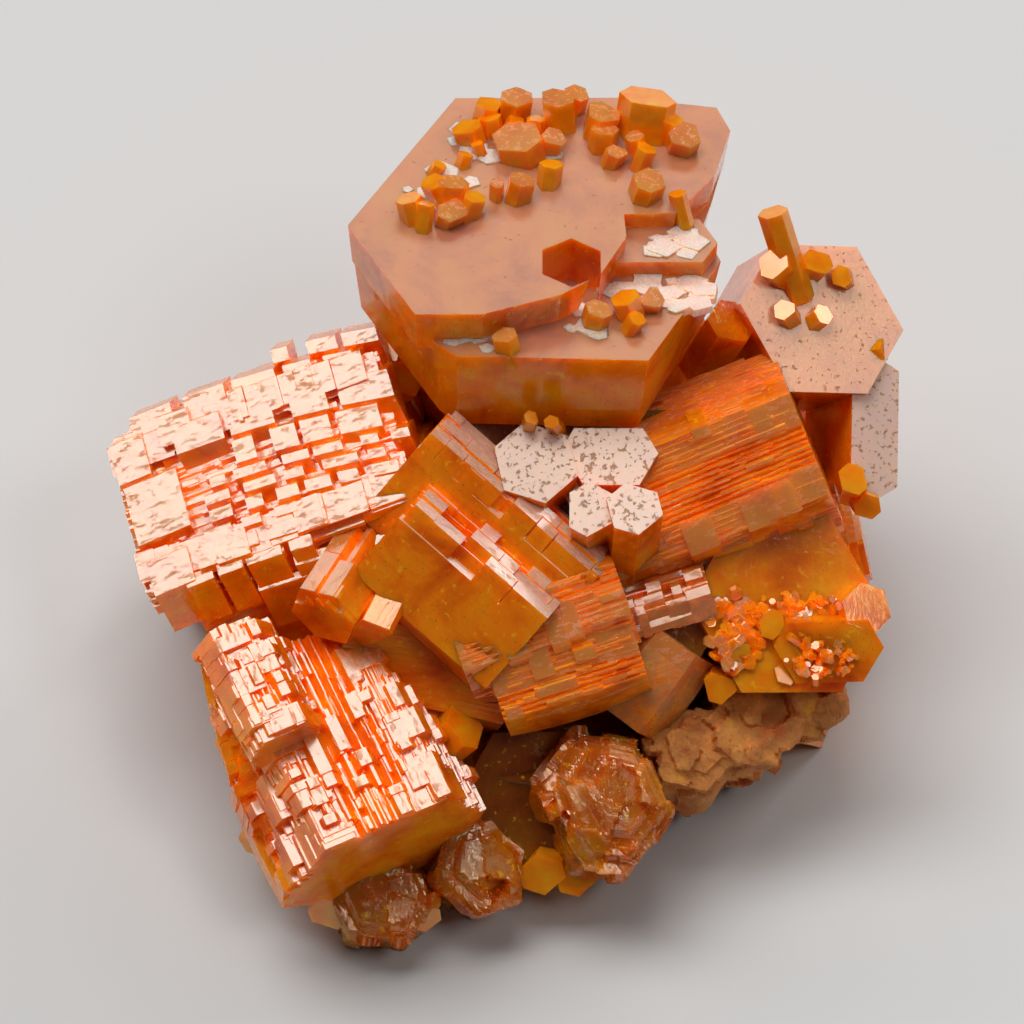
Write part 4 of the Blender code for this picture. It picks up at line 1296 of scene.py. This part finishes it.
def add_studio():
    look = Nodes("floor")
    paper = look.noise(look.add("ShaderNodeTexCoord").outputs["Object"], 6.0, 2.0)
    colour = look.ramp(paper, ((0.3, (0.66, 0.655, 0.645)), (0.7, (0.69, 0.685, 0.675))))
    look.finish(Base_Color=colour, Roughness=0.9, Specular_IOR_Level=0.2)
    mesh = bpy.data.meshes.new("floor")
    half = 0.5 * FLOOR_SIDE
    corners = [(-half, -half, 0), (half, -half, 0), (half, half, 0), (-half, half, 0)]
    mesh.from_pydata(corners, [], [(0, 1, 2, 3)])
    mesh.materials.append(look.material)
    floor = bpy.data.objects.new("floor", mesh)
    bpy.context.scene.collection.objects.link(floor)
    world = bpy.data.worlds.new("studio")
    world.use_nodes = True
    world.node_tree.nodes["Background"].inputs[0].default_value = (0.03, 0.03, 0.032, 1.0)
    bpy.context.scene.world = world
    add_softbox("overhead", (-0.25, 0.18, 0.95), (1.0, 0.0, 0.26), 48, 26, 4.4)
    add_softbox("back", (-0.12, 0.75, 0.65), (1.0, 0.05, 0.12), 54, 16, 2.0)
    add_softbox("ridge_light", (0.68, 0.55, 0.48), (0.5, -0.6, 0.0), 22, 18, 5.0)
    add_softbox("plate_light", (0.42, -0.33, 0.83), (1.0, 0.0, -0.5), 15, 16, 4.6)
    bpy.context.scene.view_settings.view_transform = "Standard"


def dress(piece, material, cap=None, top=None, side=0):
    """Gives the piece its material, another across its crystal's end and another along one side."""
    outward = Vector((math.cos(side * SIXTH), math.sin(side * SIXTH), 0.0))
    mesh = piece.data
    mesh.materials.clear()
    for each in (material, cap or material, top or material):
        mesh.materials.append(each)
    for face in mesh.polygons:
        if face.normal.z > FACING:
            face.material_index = 1
        elif face.normal.dot(outward) > FACING:
            face.material_index = 2
    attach(piece, "root")
    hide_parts(NODE)


DRUSE_OUT = (0.13, 0.02, 0.99)
DRUSE = (  # middle, spread, how many and their sizes
    ((10.6, -5.3, 2.95), (1.5, 1.9), 130, (0.2, 0.6)),
    ((13.4, -4.7, 2.6), (2.4, 1.3), 170, (0.12, 0.4)),
    ((14.4, -6.3, 3.3), (1.7, 1.2), 90, (0.12, 0.4)),
)


def make_finishes():
    return {
        "glassy": glassy(),
        "striated": glassy("striated", (0.12, 0.28), 0.6, radius=0.5, streaks=0.5),
        "facet": facet(),
        # ridge: the pale band along the middle barrels' upper side, a painted reflection of a lamp that the
        # tabular crystal blocks.
        "ridge": facet("ridge", 0.5, 0.2, WHITE),
        "patch": facet("patch", 0.8, 0.22, WHITE),
        "smooth": glassy("smooth", (0.04, 0.10), 0.06),
        # satin, frosted and pitted mix pale into the colour: partly the faces' own frost, partly a painted
        # sheen.
        "satin": frosted("satin", 0.28, 0.22, shade=0.55),
        "frosted": frosted("frosted", 0.26, 0.5, 0.55, 0.62),
        # pitted: the pale plates' own grey-white; on the lower right plate also a painted highlight where no
        # lamp's reflection reaches.
        "pitted": frosted("pitted", 0.3, 0.85, 0.75, 0.57, WHITE),
        "dusty": glassy("dusty", (0.2, 0.4), 0.5, dust=0.8),
        "rough": glassy("rough", (0.08, 0.3), 0.3, 0.45, 0.35),
        # Glassy darkened to a third: painted shade of the recess and of what lies under and between the
        # crystals.
        "deep_shade": glassy("deep_shade", (0.10, 0.25), 0.3, 0.7, 0.1),
        "coated": coated(),
        "amber": amber(),
    }


def make_ground():
    """A block below Z = 0, to cut the crystals off level."""
    outline = ((-FAR, -FAR), (FAR, -FAR), (FAR, FAR), (-FAR, FAR))
    return add_loft(new_group("tools"), Matrix.Identity(4), outline, ((-FAR, 1.0), (0.0, 1.0)))


def shape_surface(piece, finish):
    if finish == "rough":
        remeshed(piece, 0.14)
        fracture(piece, 1.7, 0.4, 0.55)
        stand(piece)
    elif finish == "coated":
        remeshed(piece, 0.12)
        fracture(piece, 1.3, 0.45, 0.5)
        crust(piece, 0.5, 0.07)
        stand(piece)


def make_piece(name, place, finish, members, ground, finishes):
    """Crystals that share a finish, grown together into one piece of the model."""
    chance = random.Random(f"{SEED} {name}")
    table = FRONT if place == "display" else AROUND
    base = display_to_rest() if place == "display" else level_to_rest()
    group = new_group(name)
    for member in members:
        add_crystal(member, table[member], base, group, chance)
    leader = table[members[0]]
    if name == "left_mosaic_barrel":
        add_plates(group, base, leader, chance)
    own = base @ oriented(leader["end"], leader["out"], leader["face"])
    piece = united(name, group, own, [ground])
    shape_surface(piece, finish)
    if finish in ("frosted", "pitted"):
        dress(piece, finishes["glassy"], finishes[finish])
    elif name == "middle_barrels":
        # The middle barrels' upper side takes the ridge finish, whose whitened colour is a painted
        # reflection.
        dress(piece, finishes[finish], top=finishes["ridge"], side=1)
    elif members[0] in MOSAIC:
        dress(piece, finishes[finish], top=finishes["facet"])
    else:
        dress(piece, finishes[finish])


def make_small_crystals(finishes):
    chance = random.Random(SEED)
    base = display_to_rest()
    small = new_group("small_crystals")
    for end, out, across, length in SMALL:
        add_small(small, base @ oriented(end, out, SMALL_FACE), across, length, chance)
    dress(united("small_crystals", small, base), finishes["amber"])
    druse = new_group("druse")
    for middle, spread, count, sizes in DRUSE:
        scatter(druse, base, middle, spread, count, sizes, DRUSE_OUT, chance)
    dress(united("druse", druse, base), finishes["smooth"], finishes["facet"])


def main():
    add_camera(display_to_rest())
    add_studio()
    finishes = make_finishes()
    ground = make_ground()
    for name, (place, finish, members) in PIECES.items():
        make_piece(name, place, finish, members, ground, finishes)
    make_small_crystals(finishes)
    table, small, patches = make_table(display_to_rest())
    dress(table, finishes["glassy"], finishes["satin"])
    dress(small, finishes["amber"], finishes["facet"])
    dress(patches, finishes["patch"])
    bpy.data.objects.remove(ground, do_unlink=True)


main()
